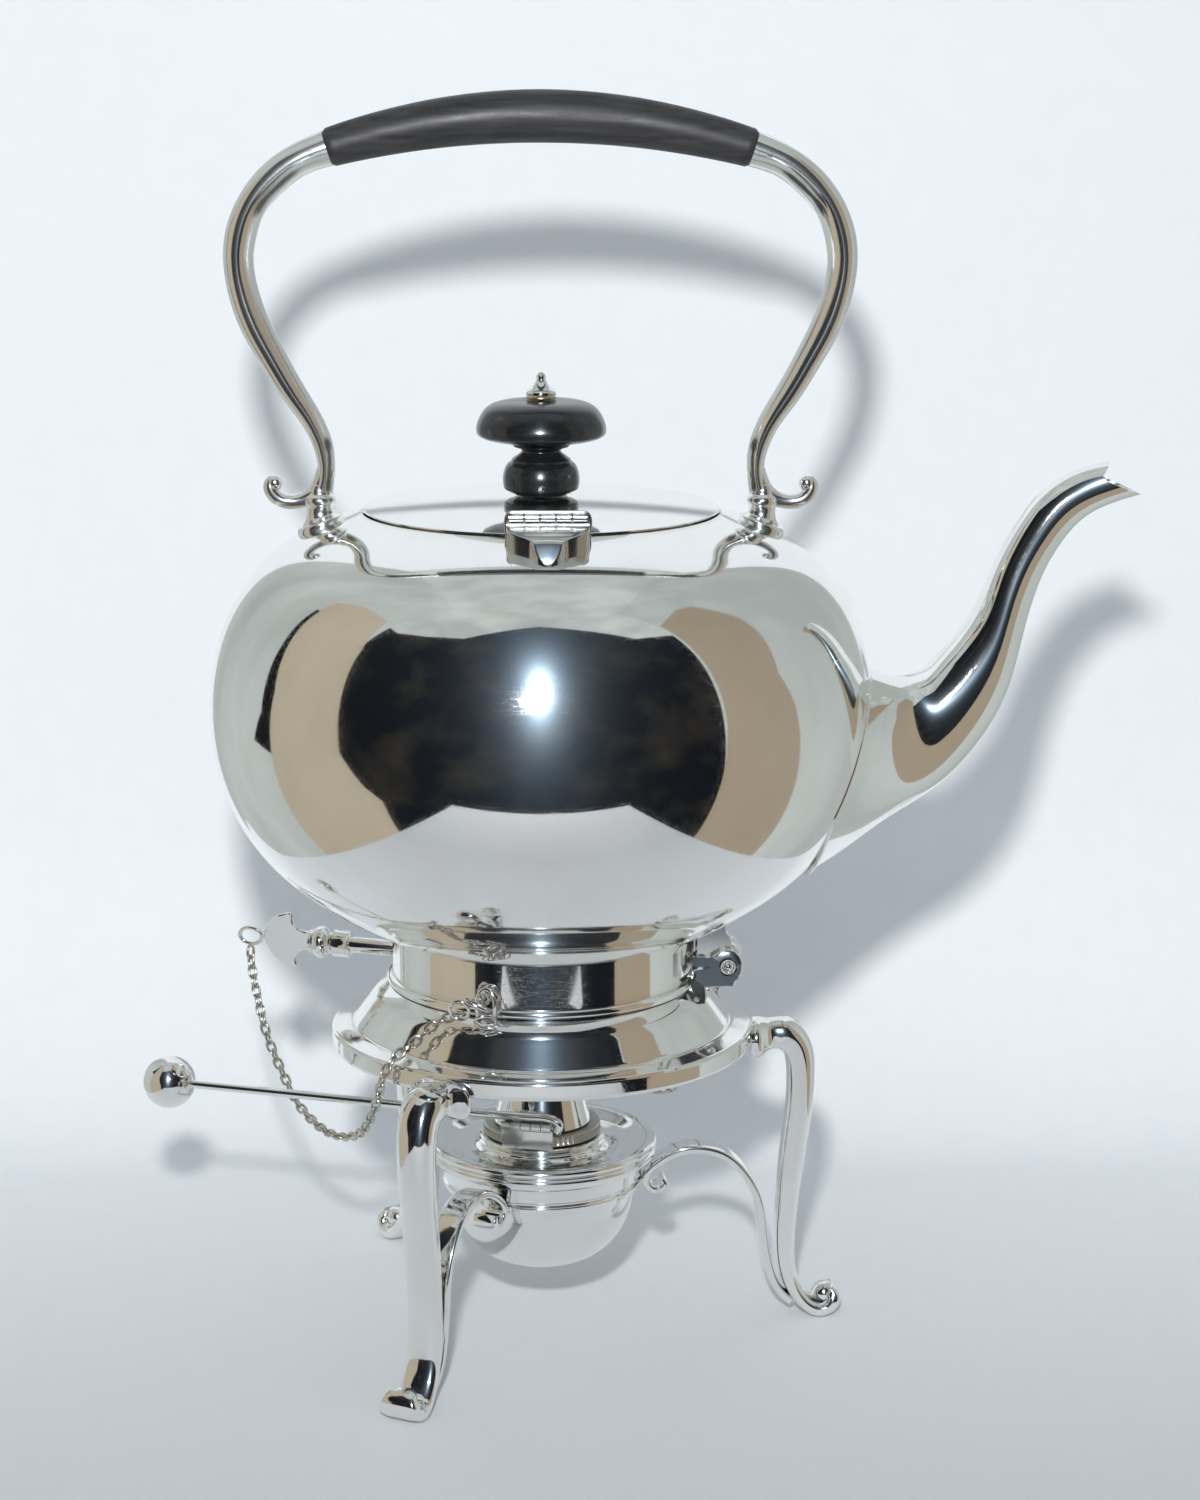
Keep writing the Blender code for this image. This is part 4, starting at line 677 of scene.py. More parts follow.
foot_outline = [(0, 0.2335), (0.0024, 0.2332), (0.0031, 0.2318), (0.0032, 0.2306), (0.0039, 0.2299),
                (0.0043, 0.2290), (0.0041, 0.2281), (0.0036, 0.2273), (0.0035, 0.2258), (0.0039, 0.2246),
                (0.0049, 0.2238), (0.0059, 0.2234), (0.0060, 0.2229), (0.0058, 0.2218), (0.0056, 0.2180),
                (0, 0.2180)]


def arm_piece(name, side):
    """Section carried along the arm: round outside, and inside a flat slope that meets the
    round half in a soft ridge in front, because sine and cosine are raised to a power there.
    The tail's thick wire and its bud join it, and a turned foot whose lower rings are bent
    to the shoulder."""
    f = spline_through([(side * p[0], p[1], t, w) for p, t, w in arm_stations], 150)
    along = np.gradient(f[:, :2], axis=0)
    along /= np.linalg.norm(along, axis=1)[:, None]
    normal = np.stack([-along[:, 1], along[:, 0]], axis=1)
    angle = np.linspace(0, 2 * pi, 64, endpoint=False)
    power = np.where(side * np.cos(angle) >= 0, 1.0, inner_power)
    u = np.sign(np.cos(angle)) * np.abs(np.cos(angle)) ** power
    v = np.sign(np.sin(angle)) * np.abs(np.sin(angle)) ** power
    x = f[:, :1] + normal[:, :1] * f[:, 2:3] * u
    z = f[:, 1:2] + normal[:, 1:] * f[:, 2:3] * u
    arm = grid_piece(name, np.stack([axis_x + x, f[:, 3:] * v, z], axis=-1), angle=60)
    t = spline_through([(axis_x + side * reach, 0, z, r) for reach, z, r in tail_stations], 60)
    tail = grid_piece("tail", wire_grid(t[:, :3], t[:, 3], 24))
    bud = ball_piece("bud", (axis_x + side * bud_reach, 0, bud_z), bud_radius, 32)
    foot = revolve(softened(foot_outline, foot_rounding), 72, (side * foot_reach, 0))
    radius = np.hypot(foot[..., 0] - axis_x, foot[..., 1])
    bend = np.clip((foot_top - foot[..., 2]) / (foot_top - foot_low), 0, 1)
    foot[..., 2] += bend * (body_height_at(radius) - body_height_at(foot_reach))
    return fused(name, arm, tail, bud, grid_piece("foot", sunk(foot), caps=False), angle=60)


for side, label in ((-1, "left"), (1, "right")):
    arm = arm_piece("arm_casting_" + label, side)
    dress(arm, arm_silver, "kettle", "handle_arm_" + label, "handle_base_" + label)
    print("handle arm %s: %d faces" % (label, len(arm.data.polygons)))

# %% Grip
grip_half, grip_mid_z, grip_end_z = 0.0550, 0.3284, 0.3202
grip_mid_radius, grip_end_radius, grip_power = 0.0068, 0.0050, 1.8
grip_rounding, grip_rounded_length = 0.0006, 0.0009


def grip_piece():
    """A round bar along a parabola, its radius falling from the middle as a power of the
    distance, with rounded ends."""
    x = np.linspace(-1, 1, 121)
    z = grip_mid_z - (grip_mid_z - grip_end_z) * x ** 2
    radius = grip_mid_radius - (grip_mid_radius - grip_end_radius) * np.abs(x) ** grip_power
    from_end = (1 - np.abs(x)) * grip_half
    radius = radius - grip_rounding * np.clip(1 - from_end / grip_rounded_length, 0, 1) ** 2
    path = np.stack([axis_x + x * grip_half, 0 * x, z], axis=1)
    return grid_piece("grip_bar", wire_grid(path, radius, 48), angle=50)


dress(grip_piece(), grip_black, "kettle", "grip")
print("grip: %.1f mm long, %.1f mm thick" % (2000 * grip_half, 2000 * grip_mid_radius))

# %% [markdown]
# ## Lid and knob
# The lid is a shallow disc that sits on the mouth's lip, with a thin ring under it. The knob is
# a black baluster under a mushroom cap, drawn down on the lid by a stud that ends above in a
# small washer and a silver finial. All are turned, so each is an outline with softened corners.
# The Screw modifier would turn an outline too, but a grid keeps every piece on one helper, with
# its ends closed on the axis. Where the real outline flows, a spline carries it.

# %% Lid
lid_top_z, lid_wall, lid_rounding = float(lid_high[2]), 0.0005, 0.0003
lid_edge_z = float(lid_low[2]) + lid_wall
bezel_wall = 0.0008


def lid_outline():
    """A shallow dome of one thickness: height falls with the square of the radius."""
    radius = (float(lid_high[0]) - float(lid_low[0])) / 2
    share = np.linspace(0, 1, 40)
    dome = (lid_top_z - lid_edge_z) * (1 - share ** 2)
    top = np.stack([radius * share, lid_edge_z + dome], axis=1)
    under = top[::-1] - (0, lid_wall)
    edge = softened([top[-4], top[-1], under[0], under[3]], lid_rounding, 4)
    return np.concatenate([top[:-4], edge, under[4:]])


dress(turned_piece("lid_disc", lid_outline(), 200), silver, "lid", "lid")


def between(node):
    """A turned node's lowest and highest level, and its radius."""
    low, high = box_of(node)
    return float(low[2]), float(high[2]), float(high[0] - low[0]) / 2


def band(low, high, radius, wall, rounding):
    """The section of a plain band: a thin rectangle with softened corners."""
    section = [(radius - wall, high), (radius, high), (radius, low), (radius - wall, low)]
    return softened(section, rounding, 3, closed=True)


bezel = band(*between("lid_bezel"), bezel_wall, 0.0002)
dress(turned_piece("lid_bezel_ring", bezel, 160, closed=True), silver, "lid", "lid_bezel")
print("lid: %.1f mm across" % (1000 * float(lid_high[0] - lid_low[0])))


# %% Knob
def scaled(shares, node):
    """Pairs of shares, of a node's radius and of its height, in real sizes."""
    low, high, wide = between(node)
    return np.asarray(shares) * (wide, high - low) + (0, low)


knob_rounding = 0.0002
baluster_foot = [(0, 0), (0.70, 0), (0.71, 0.025), (0.82, 0.045), (0.93, 0.090), (0.962, 0.106), (0.945, 0.116)]
baluster_bun = [(0.975, 0.126), (0.995, 0.22), (1.00, 0.33), (0.965, 0.47), (0.89, 0.59), (0.83, 0.635)]
baluster_neck = [(0.775, 0.690), (0.66, 0.755), (0.56, 0.81), (0.515, 0.855), (0.55, 0.90), (0.66, 0.93)]
baluster_ring = [(0.70, 0.935), (0.745, 0.955), (0.74, 1.0), (0, 1.0)]
cap_shares = [(0.43, 0.00), (0.70, 0.045), (0.90, 0.115), (0.985, 0.20), (1.00, 0.31), (0.985, 0.45),
              (0.945, 0.60), (0.86, 0.79), (0.75, 0.90), (0.60, 0.965), (0.40, 0.992), (0.22, 1.00)]
finial_shares = [(0.90, 0.00), (0.99, 0.04), (1.00, 0.10), (0.95, 0.17), (0.79, 0.27), (0.60, 0.38),
                 (0.44, 0.50), (0.34, 0.61), (0.30, 0.69), (0.31, 0.78), (0.27, 0.88), (0.15, 0.97)]


def baluster_outline(node):
    """Foot, a groove, a round bun, a fine step, a hollow neck and the ring under the cap."""
    return np.concatenate([softened(scaled(baluster_foot, node), knob_rounding),
                           spline_through(scaled(baluster_bun, node), 48),
                           scaled([(0.775, 0.645)], node),
                           spline_through(scaled(baluster_neck, node), 36),
                           softened(scaled(baluster_ring, node), knob_rounding)])


def flowing_outline(shares, node, count):
    """One spline from the underside to the crown, joined to the axis at both ends."""
    return np.concatenate([scaled([(0, 0)], node), spline_through(scaled(shares, node), count),
                           scaled([(0, 1)], node)])


cap = flowing_outline(cap_shares, "knob_cap", 90)
finial = flowing_outline(finial_shares, "knob_finial", 70)
washer = softened(scaled([(0, 1), (1, 1), (1, 0), (0, 0)], "knob_washer"), 0.0003)
dress(turned_piece("knob_lower", baluster_outline("knob_baluster"), 96), horn, "lid", "knob_baluster")
dress(turned_piece("knob_upper", cap, 128), horn, "lid", "knob_cap")
dress(turned_piece("knob_tip", finial, 64), silver, "lid", "knob_finial")
dress(turned_piece("knob_collar", washer, 64), brass, "lid", "knob_washer")
print("knob: %.1f mm across its cap" % (2000 * between("knob_cap")[2]))

# %% [markdown]
# ## The lid's hinge
# A barrel of five knuckles lies across the front of the lid: three belong to the body's leaf
# and two to the lid's. The body's leaf stands up round them in a thin rim, slopes down over
# the shoulder and draws in to a round nose. A block could be pushed into this shape by hand,
# but rows of numbers can be measured and mended one at a time: each row of the leaf has its
# distance from the axis, half width and top, and all their feet follow the shoulder.

# %% Lid hinge
pin_low, pin_high = box_of("lid_hinge_pin")
lid_hinge = (pin_low + pin_high) / 2
lid_hinge_half = float(pin_high[0] - pin_low[0]) / 2
barrel = lid_hinge - (0, 0.0004, 0)
knuckle_radius, knuckle_gap, knuckle_rounding = 0.0013, 0.00036, 0.0001
leaf_rounding, leaf_crown, leaf_foot_z = 0.0004, 0.00015, 0.2000
leaf_rows = [  # distance from the axis, half width, top
    (0.0496, 0.0104, 0.2300), (0.0505, 0.0104, 0.2295), (0.0524, 0.0102, 0.2288), (0.0538, 0.0090, 0.2282),
    (0.0550, 0.0073, 0.2277), (0.0560, 0.0056, 0.2272), (0.0567, 0.0045, 0.2268), (0.0574, 0.0038, 0.2266),
    (0.0582, 0.0034, 0.2256), (0.0590, 0.0029, 0.2241), (0.0597, 0.0020, 0.2226), (0.0601, 0.0009, 0.2215)]


def knuckle_pieces(keep, count=5):
    """The kept knuckles of the barrel: short round bars with softened ends and dark gaps."""
    step = 2 * lid_hinge_half / count
    length = step - knuckle_gap
    profile = [(0, 0), (0, knuckle_radius), (length, knuckle_radius), (length, 0)]
    profile = softened(profile, knuckle_rounding, 2)
    starts = [barrel + (k * step - lid_hinge_half + knuckle_gap / 2, 0, 0) for k in keep]
    return [spun_piece("knuckle", start, (1, 0, 0), profile, 28) for start in starts]


def leaf_piece():
    """Tongue of the body's leaf. Each row runs up one side, round a corner, over a faintly
    crowned top and down the other side."""
    f = spline_through(leaf_rows, 70)
    reach, wide, top = f[:, :1], f[:, 1:2], f[:, 2:]
    c, a = leaf_rounding, np.radians(np.linspace(180, 90, 6))
    out, drop = c * np.cos(a), c * np.sin(a) - c
    across, foot = np.linspace(-1, 1, 9)[1:-1], 0 * top + leaf_foot_z
    crown = top + leaf_crown * (1 - across ** 2)
    x = np.concatenate([-wide, c - wide + out, (wide - c) * across, wide - c - out[::-1], wide], axis=1)
    z = np.concatenate([foot, top + drop, crown, top + drop[::-1], foot], axis=1)
    return grid_piece("leaf", sunk(np.stack([lid_hinge[0] + x, -reach + 0 * x, z], axis=-1)), angle=45)


def hinge_wire(name, line, radius):
    """A thin wire along a line whose X is counted from the hinge's middle."""
    return grid_piece(name, wire_grid(np.add(line, (lid_hinge[0], 0, 0)), radius, 12))


# %% Hinge pieces
rim_half, rim_wire, step_wire = lid_hinge_half + 0.0004, 0.00045, 0.0004
rim_side = [(-rim_half, -0.0500, 0.2245), (-rim_half, -0.0499, 0.2285), (-rim_half, -0.0498, 0.2318),
            (0.0006 - rim_half, -0.0498, 0.2327), (0.0020 - rim_half, -0.0498, 0.2330)]
rim_line = rim_side + [(0, -0.0498, 0.2330)] + [(-x, y, z) for x, y, z in rim_side[::-1]]
step_line = [(side * rim_half, -0.0500, 0.2298) for side in (-1, 0, 1)]
back_outline = [(0.0008 - rim_half, 0.2262), (rim_half - 0.0008, 0.2262), (rim_half, 0.2290),
                (rim_half, 0.2326), (-rim_half, 0.2326), (-rim_half, 0.2290)]
slab_outline = [(-0.0090, -0.0476), (0.0090, -0.0476), (0.0090, -0.0410), (0.0060, -0.0396),
                (-0.0060, -0.0396), (-0.0090, -0.0410)]
back = plate_piece("back", softened(back_outline, 0.0006, 4, closed=True), thickness=0.0007, bevel=0.0001,
                   origin=(*barrel[:2], 0), axes=((1, 0, 0), (0, 0, 1)))
rim = hinge_wire("rim", spline_through(rim_line, 90), rim_wire)
step = hinge_wire("step", step_line, step_wire)
bracket = fused("lid_hinge_bracket", leaf_piece(), back, rim, step, *knuckle_pieces((0, 2, 4)))
dress(bracket, hinge_silver, "kettle", "body_hinge_leaf")
slab = plate_piece("slab", softened(slab_outline, 0.0010, 4, closed=True), thickness=0.0012, bevel=0.0003,
                   origin=(lid_hinge[0], 0, mouth_z + 0.0024), axes=((1, 0, 0), (0, 1, 0)))
flap = fused("lid_hinge_flap", slab, *knuckle_pieces((1, 3)))
dress(flap, hinge_silver, "lid", "lid_hinge_leaf")
print("lid hinge: barrel %.1f mm long" % (2000 * lid_hinge_half))

# %% [markdown]
# ## Collar and flange
# The stand's head is a short tube with a bead at its foot, on a flange that swells out like a
# bell and turns down at the rim. Fine turned lines mark its steps. Both are closed sections
# turned about the axis, outside and inside in one, so that they have a real thickness and no
# Solidify modifier has to guess it at the sharp rim.

# %% Collar
collar_low, collar_high = box_of("stand_collar")
collar_radius, collar_wall, collar_bead = 0.0405, 0.0016, 0.0015
collar_top_z, collar_foot_z = float(collar_high[2]), float(collar_low[2])


def collar_outline():
    """A tube with softened top edges and a half-round bead at its foot."""
    r, wall, b = collar_radius, collar_wall, collar_bead
    a = np.linspace(radians(95), radians(-40), 18)
    centre = collar_foot_z + b / 2
    bead = np.stack([r + 0.1 * b + 0.9 * b * np.cos(a), centre + 0.9 * b * np.sin(a)], axis=1)
    top = softened([(r - wall, collar_foot_z), (r - wall, collar_top_z), (r, collar_top_z),
                    (r, centre + 2 * b)], 0.0004)
    return np.concatenate([top, bead, [(r + 0.4 * b, collar_foot_z)]])


dress(turned_piece("collar_tube", collar_outline(), 200, closed=True), silver, "stand", "stand_collar")
print("collar: %.1f mm high" % (1000 * (collar_top_z - collar_foot_z)))

# %% Flange
flange_radius, flange_wall = 0.0570, 0.0013
slant_wall = 0.8 * flange_wall  # moved in and down alike, this is about one wall's thickness
rim_top_z, rim_low_z = 0.0861, 0.0813
cove_radius, cove_z = 0.0505, 0.0880


def flange_outline():
    """A convex shoulder, a fine step, a nearly flat ledge and a turned-down rim, then the
    same line one wall's thickness inside."""
    top = collar_foot_z - gap
    shares = np.array([(0.10, 0), (0.42, 0.22), (0.66, 0.52), (1, 1)])
    shares = shares * (cove_radius - collar_radius, cove_z - top)
    shoulder = spline_through(shares + (collar_radius, top), 40)
    rim = softened([(cove_radius + 0.0001, cove_z - 0.0002), (cove_radius + 0.0006, cove_z - 0.0006),
                    (cove_radius + 0.0016, cove_z - 0.0007), (flange_radius - 0.0009, rim_top_z + 0.0003),
                    (flange_radius, rim_top_z - 0.0004), (flange_radius, rim_low_z + 0.0008),
                    (flange_radius - 0.0003, rim_low_z), (flange_radius - flange_wall, rim_low_z),
                    (flange_radius - flange_wall, rim_top_z - flange_wall),
                    (cove_radius - flange_wall / 2, cove_z - 1.4 * flange_wall)], 0.0003)
    under = shoulder[::-1][3:-2] - slant_wall
    inner = collar_radius - collar_wall
    return np.concatenate([shoulder, rim, under, [(inner, top - flange_wall), (inner, top)]])


dress(turned_piece("flange_bell", flange_outline(), 224, closed=True), silver, "stand", "stand_flange")
print("flange: %.1f mm across" % (2000 * flange_radius))

# %% [markdown]
# ## Lug and lock pins
# The kettle tips about a pin at its front lug: a tongue under the body stands between two ears
# on the collar. A second pin locks it on the other side. Both pins are alike. Each has a
# shaft, a collar, a bead between thin rings, and a winged plate whose horns point back at the
# bead, with a wire eye for its chain. Ears and tongue have real holes: a boolean would do, but the
# walls of rim, faces and bore laid out as one ring of rows have no stray triangles.

# %% Lug
pivot = np.array((axis_x + 0.0504, 0, 0.1019))
pin_radius = 0.0022
bore_radius = pin_radius + gap
tongue_thickness, ear_thickness, ear_offset, ear_lean = 0.0038, 0.0018, 0.0031, 0.055
ear_knob_place, ear_knob_radius = np.array((-0.0056, 0.0034, -0.0064)), 0.0011
ear_outline = [(-0.0101, 0.0029), (-0.0060, 0.0028), (-0.0046, 0.0031), (-0.0034, 0.0040), (-0.0022, 0.0046),
               (-0.0008, 0.0049), (0.0008, 0.0048), (0.0023, 0.0041), (0.0035, 0.0028), (0.0041, 0.0012),
               (0.0041, -0.0005), (0.0037, -0.0022), (0.0027, -0.0036), (0.0018, -0.0045), (0.0016, -0.0057),
               (-0.0101, -0.0057)]
tongue_outline = [(-0.0088, 0.0125), (-0.0088, 0.0030), (-0.0072, 0.0010), (-0.0052, -0.0012),
                  (-0.0034, -0.0026), (-0.0014, -0.0036), (0.0008, -0.0037), (0.0026, -0.0026),
                  (0.0037, -0.0006), (0.0034, 0.0016), (0.0020, 0.0034), (0.0011, 0.0048), (0.0011, 0.0068),
                  (0.0004, 0.0085), (-0.0008, 0.0095), (-0.0010, 0.0140)]
root_section = np.array([(0.0402, 0.1112), (0.0408, 0.1114), (0.0412, 0.1110), (0.0412, 0.1030),
                         (0.0408, 0.1025), (0.0402, 0.1025)])
root_middle_z, root_thinning = 0.107, 0.0012


def bored(name, outline, thickness, bevel, origin):
    """A plate in the XZ plane with an eye through it: the walls of rim, faces and bore are one
    closed ring of rows, from the bore's edge out to the rim and back. The rim's points are
    spread evenly, and each has its partner on the bore in the same direction."""
    rim = softened(outline, 0.0003, 4, closed=True)
    share = np.linspace(0, 1, 97)[:-1]
    length = np.concatenate([[0], np.cumsum(np.linalg.norm(np.roll(rim, -1, axis=0) - rim, axis=1))])
    loop = np.concatenate([rim, rim[:1]])
    rim = np.stack([np.interp(share * length[-1], length, loop[:, k]) for k in (0, 1)], axis=1)
    turn = np.arctan2(rim[:, 1], rim[:, 0])[:, None]
    eye = bore_radius * np.concatenate([np.cos(turn), np.sin(turn)], axis=1)
    inward = -rim / np.linalg.norm(rim, axis=1)[:, None]
    half = thickness / 2
    rows = [(eye, -half), (rim + bevel * inward, -half), (rim, bevel - half), (rim, half - bevel),
            (rim + bevel * inward, half), (eye, half)]
    grid = np.stack([np.stack([q[:, 0], np.full(len(q), t), q[:, 1]], axis=1) for q, t in rows])
    return grid_piece(name, grid + np.asarray(origin), rows_closed=True, angle=40)


def leaned(ear, side):
    """An ear whose outer face leans: its points move in by a share of their height."""
    points = np.empty(3 * len(ear.data.vertices))
    ear.data.vertices.foreach_get("co", points)
    points = points.reshape(-1, 3)
    outside = (points[:, 1] - pivot[1]) * side > ear_offset
    points[outside, 1] -= side * ear_lean * (points[outside, 2] - pivot[2])
    ear.data.vertices.foreach_set("co", points.ravel())
    return ear


def ear_root(side):
    """The strip that holds an ear to the collar: a section turned from 4 to 29 degrees, and
    thinned towards its end by the square of the distance."""
    turn = np.radians(np.linspace(4, 29, 14))[:, None] * side
    thinner = root_thinning * np.clip((np.abs(turn) - radians(24)) / radians(5), 0, 1) ** 2
    radius, height = root_section.T
    height = height + np.where(height > root_middle_z, -1, 1) * thinner
    grid = np.stack([axis_x + radius * np.cos(turn), radius * np.sin(turn), height], axis=-1)
    return grid_piece("root", grid, angle=45)


tongue = bored("tongue", tongue_outline, tongue_thickness, bevel=0.0006, origin=pivot)
dress(tongue, cast_silver, "kettle", "lug_tongue")
for side, label in ((-1, "near"), (1, "far")):
    ear = bored("ear", ear_outline, ear_thickness, bevel=0.0005, origin=pivot + (0, side * ear_offset, 0))
    knob = ball_piece("knob", pivot + ear_knob_place * (1, side, 1), ear_knob_radius, 20)
    bracket = fused("lug_bracket_" + label, leaned(ear, side), ear_root(side), knob, angle=45)
    dress(bracket, cast_silver, "stand", "lug_ear_" + label)
    print("lug ear %s: %d faces" % (label, len(bracket.data.polygons)))

# %% Pins
pin_bead_centre, pin_bead_half, pin_bead_radius, pin_eye_centre = 0.0084, 0.0031, 0.0045, 0.0297
lock_angle, lock_reach, lock_z, lock_shaft, lock_roll = 162, 0.0555, 0.1027, 0.0189, 9
lug_start, lug_shaft = (0.0504, 0.0043, 0.1019), 0.0093
wing_thickness, wing_bevel, pin_eye_radii, pin_eye_wire = 0.0013, 0.0003, (0.0033, 0.0024), 0.0006
wing_outline = [(0.0034, 0.0026), (0.0062, 0.0031), (0.0077, 0.0042), (0.0083, 0.0054), (0.0081, 0.0075),
                (0.0086, 0.0079), (0.0105, 0.0077), (0.0126, 0.0070), (0.0146, 0.0057), (0.0160, 0.0037),
                (0.0171, 0.0014)]


def pin_profile(shaft):
    """Distance along the pin and radius: domed end, shaft, collar, waist, rings and bead."""
    end = [(0.0000, 0), (0.0001, 0.0006), (0.0004, 0.0011), (0.0009, 0.0015), (0.0011, 0.0016),
           (0.0009, 0.0018), (0.0009, 0.0020), (0.0012, pin_radius)]
    a = np.linspace(radians(140), radians(40), 12)
    bead = np.stack([pin_bead_centre + pin_bead_half * np.cos(a), pin_bead_radius * np.sin(a)], axis=1)
    middle = [(0, pin_radius), (0, 0.0034), (0.0003, 0.0038), (0.0010, 0.0037), (0.0040, 0.0037),
              (0.0045, 0.0038), (0.0047, 0.0034), (0.0047, 0.0026), (0.0051, 0.0026), (0.0053, 0.0030),
              (0.0056, 0.0030), (0.0058, 0.0026)]
    after = [(0.0109, 0.0027), (0.0111, 0.0032), (0.0115, 0.0034), (0.0119, 0.0032), (0.0121, 0.0026),
             (0.0121, 0)]
    return np.concatenate([np.add(end, (-shaft, 0)), middle, bead, after])


def pin_piece(name, start, along, shaft, roll):
    """The turned parts, the winged plate rolled a little about the axis, and the wire eye."""
    start, along = np.asarray(start) + (axis_x, 0, 0), np.asarray(along, dtype=float)
    facing = np.cross(along, (0, 0, 1))
    facing = facing if facing[1] <= 0 else -facing
    up = np.array((0, 0, 1)) * cos(roll) + facing * sin(roll)
    body = spun_piece(name, start, along, pin_profile(shaft), 48, angle=35)
    half = np.concatenate([spline_through(wing_outline[:5], 16), spline_through(wing_outline[4:], 26)[1:]])
    outline = np.concatenate([half, half[::-1] * (1, -1)])
    middle = start + pin_bead_centre * along
    wings = plate_piece("wings", outline, wing_thickness, wing_bevel, middle, (along, up), angle=40)
    eye = torus_piece("eye", start + pin_eye_centre * along, along, up, pin_eye_radii, pin_eye_wire)
    return fused(name, body, wings, eye, angle=40)


lock_along = np.array((cos(radians(lock_angle)), sin(radians(lock_angle)), 0))
lock_pin = pin_piece("lock_pin_turned", lock_along * lock_reach + (0, 0, lock_z), lock_along, lock_shaft,
                     radians(lock_roll))
dress(lock_pin, silver, "lock_pin", "lock_pin")
dress(pin_piece("lug_pin_turned", lug_start, (0, 1, 0), lug_shaft, 0), silver, "lug_pin", "lug_pin")
print("pins: %d faces each" % len(lock_pin.data.polygons))

# %% [markdown]
# ## Chains
# A chain of small wire links ties each pin to a staple at the collar's foot, so the pin is not
# lost. An Array modifier along a curve would bend each link, so a spline carries rigid links at
# even steps of its length, every second one turned by a quarter. All the links of a chain are
# worked out in one array.

# %% Chains
lock_chain_route = [
    (-0.0812, 0.0264, 0.0993), (-0.0810, 0.0256, 0.0950), (-0.0796, 0.0228, 0.0881), (-0.0768, 0.0183, 0.0777),
    (-0.0740, 0.0137, 0.0718), (-0.0709, 0.0087, 0.0668), (-0.0676, 0.0032, 0.0622), (-0.0633, -0.0038, 0.0594),
    (-0.0588, -0.0113, 0.0584), (-0.0543, -0.0187, 0.0592), (-0.0508, -0.0246, 0.0612),
    (-0.0472, -0.0325, 0.0658), (-0.0448, -0.0383, 0.0716), (-0.0428, -0.0415, 0.0778),
    (-0.0410, -0.0430, 0.0845), (-0.0380, -0.0415, 0.0888), (-0.0340, -0.0400, 0.0915),
    (-0.0295, -0.0395, 0.0955), (-0.0252, -0.0400, 0.0985), (-0.0208, -0.0420, 0.1002)]
lug_chain_route = [
    (0.0504, 0.0333, 0.0985), (0.0504, 0.0345, 0.0930), (0.0496, 0.0400, 0.0830), (0.0478, 0.0470, 0.0700),
    (0.0450, 0.0530, 0.0600), (0.0410, 0.0560, 0.0520), (0.0360, 0.0580, 0.0470), (0.0310, 0.0590, 0.0475),
    (0.0275, 0.0588, 0.0540), (0.0255, 0.0580, 0.0640), (0.0245, 0.0570, 0.0740), (0.0235, 0.0555, 0.0830),
    (0.0225, 0.0530, 0.0890), (0.0210, 0.0495, 0.0920), (0.0195, 0.0470, 0.0965)]
link_pitch, link_half_length, link_half_width, link_wire = 0.00275, 0.0018, 0.0011, 0.00040
link_power, link_steps, link_columns = 0.8, 20, 8
chain_facing = (0.62, 0.70, 0.36)  # slanted, so that both kinds of link show their hole a little


def chain_piece(name, route):
    """Links along a route: centre + half length * cos(a) along it and half width * sin(a)
    across it, with flattened sides, and a round wire about that line."""
    f = spline_through(route, 1200)
    length = np.concatenate([[0], np.cumsum(np.linalg.norm(np.diff(f, axis=0), axis=1))])
    count = int(round(length[-1] / link_pitch))
    at = (np.arange(count) + 0.5) / count * length[-1]
    centre = np.stack([np.interp(at, length, f[:, k]) for k in range(3)], axis=1) + (axis_x, 0, 0)
    along = np.stack([np.interp(at, length, np.gradient(f[:, k])) for k in range(3)], axis=1)
    along /= np.linalg.norm(along, axis=1)[:, None]
    side = np.cross(along, chain_facing)
    side /= np.linalg.norm(side, axis=1)[:, None]
    other = np.cross(along, side)
    odd = (np.arange(count) % 2)[:, None]
    first, second = np.where(odd, side, other), np.where(odd, other, -side)
    a = np.linspace(0, 2 * pi, link_steps, endpoint=False)
    u = np.sign(np.cos(a)) * np.abs(np.cos(a)) ** link_power * link_half_length
    v = np.sign(np.sin(a)) * np.abs(np.sin(a)) ** link_power * link_half_width
    du, dv = np.cos(a) * link_half_width, np.sin(a) * link_half_length
    out = np.stack([du, dv], axis=1) / np.hypot(du, dv)[:, None]
    b = np.linspace(0, 2 * pi, link_columns, endpoint=False)
    reach = u[:, None] + link_wire * out[:, :1] * np.cos(b)
    across = v[:, None] + link_wire * out[:, 1:] * np.cos(b)
    lift = np.broadcast_to(link_wire * np.sin(b), reach.shape)
    parts = [np.einsum("rc,kd->krcd", q, w) for q, w in ((reach, along), (across, first), (lift, second))]
    points = (centre[:, None, None] + parts[0] + parts[1] + parts[2]).reshape(-1, 3)
    faces = np.asarray(grid_faces(link_steps, link_columns, rows_closed=True))
    first_points = np.arange(count) * link_steps * link_columns
    faces = (faces[None] + first_points[:, None, None]).reshape(-1, 4)
    chain = mesh_piece(name, points, faces.tolist(), angle=80)
    chain.data.materials.append(chain_silver)
    return chain, count, length[-1]


for name, route, pin in (("chain_lock", lock_chain_route, "lock_pin"),
                         ("chain_lug", lug_chain_route, "lug_pin")):
    chain, count, length = chain_piece(name, route)
    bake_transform(chain)
    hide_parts("chain_" + pin)
    print("%s: %d links, %.1f mm" % (name, count, length * 1000))

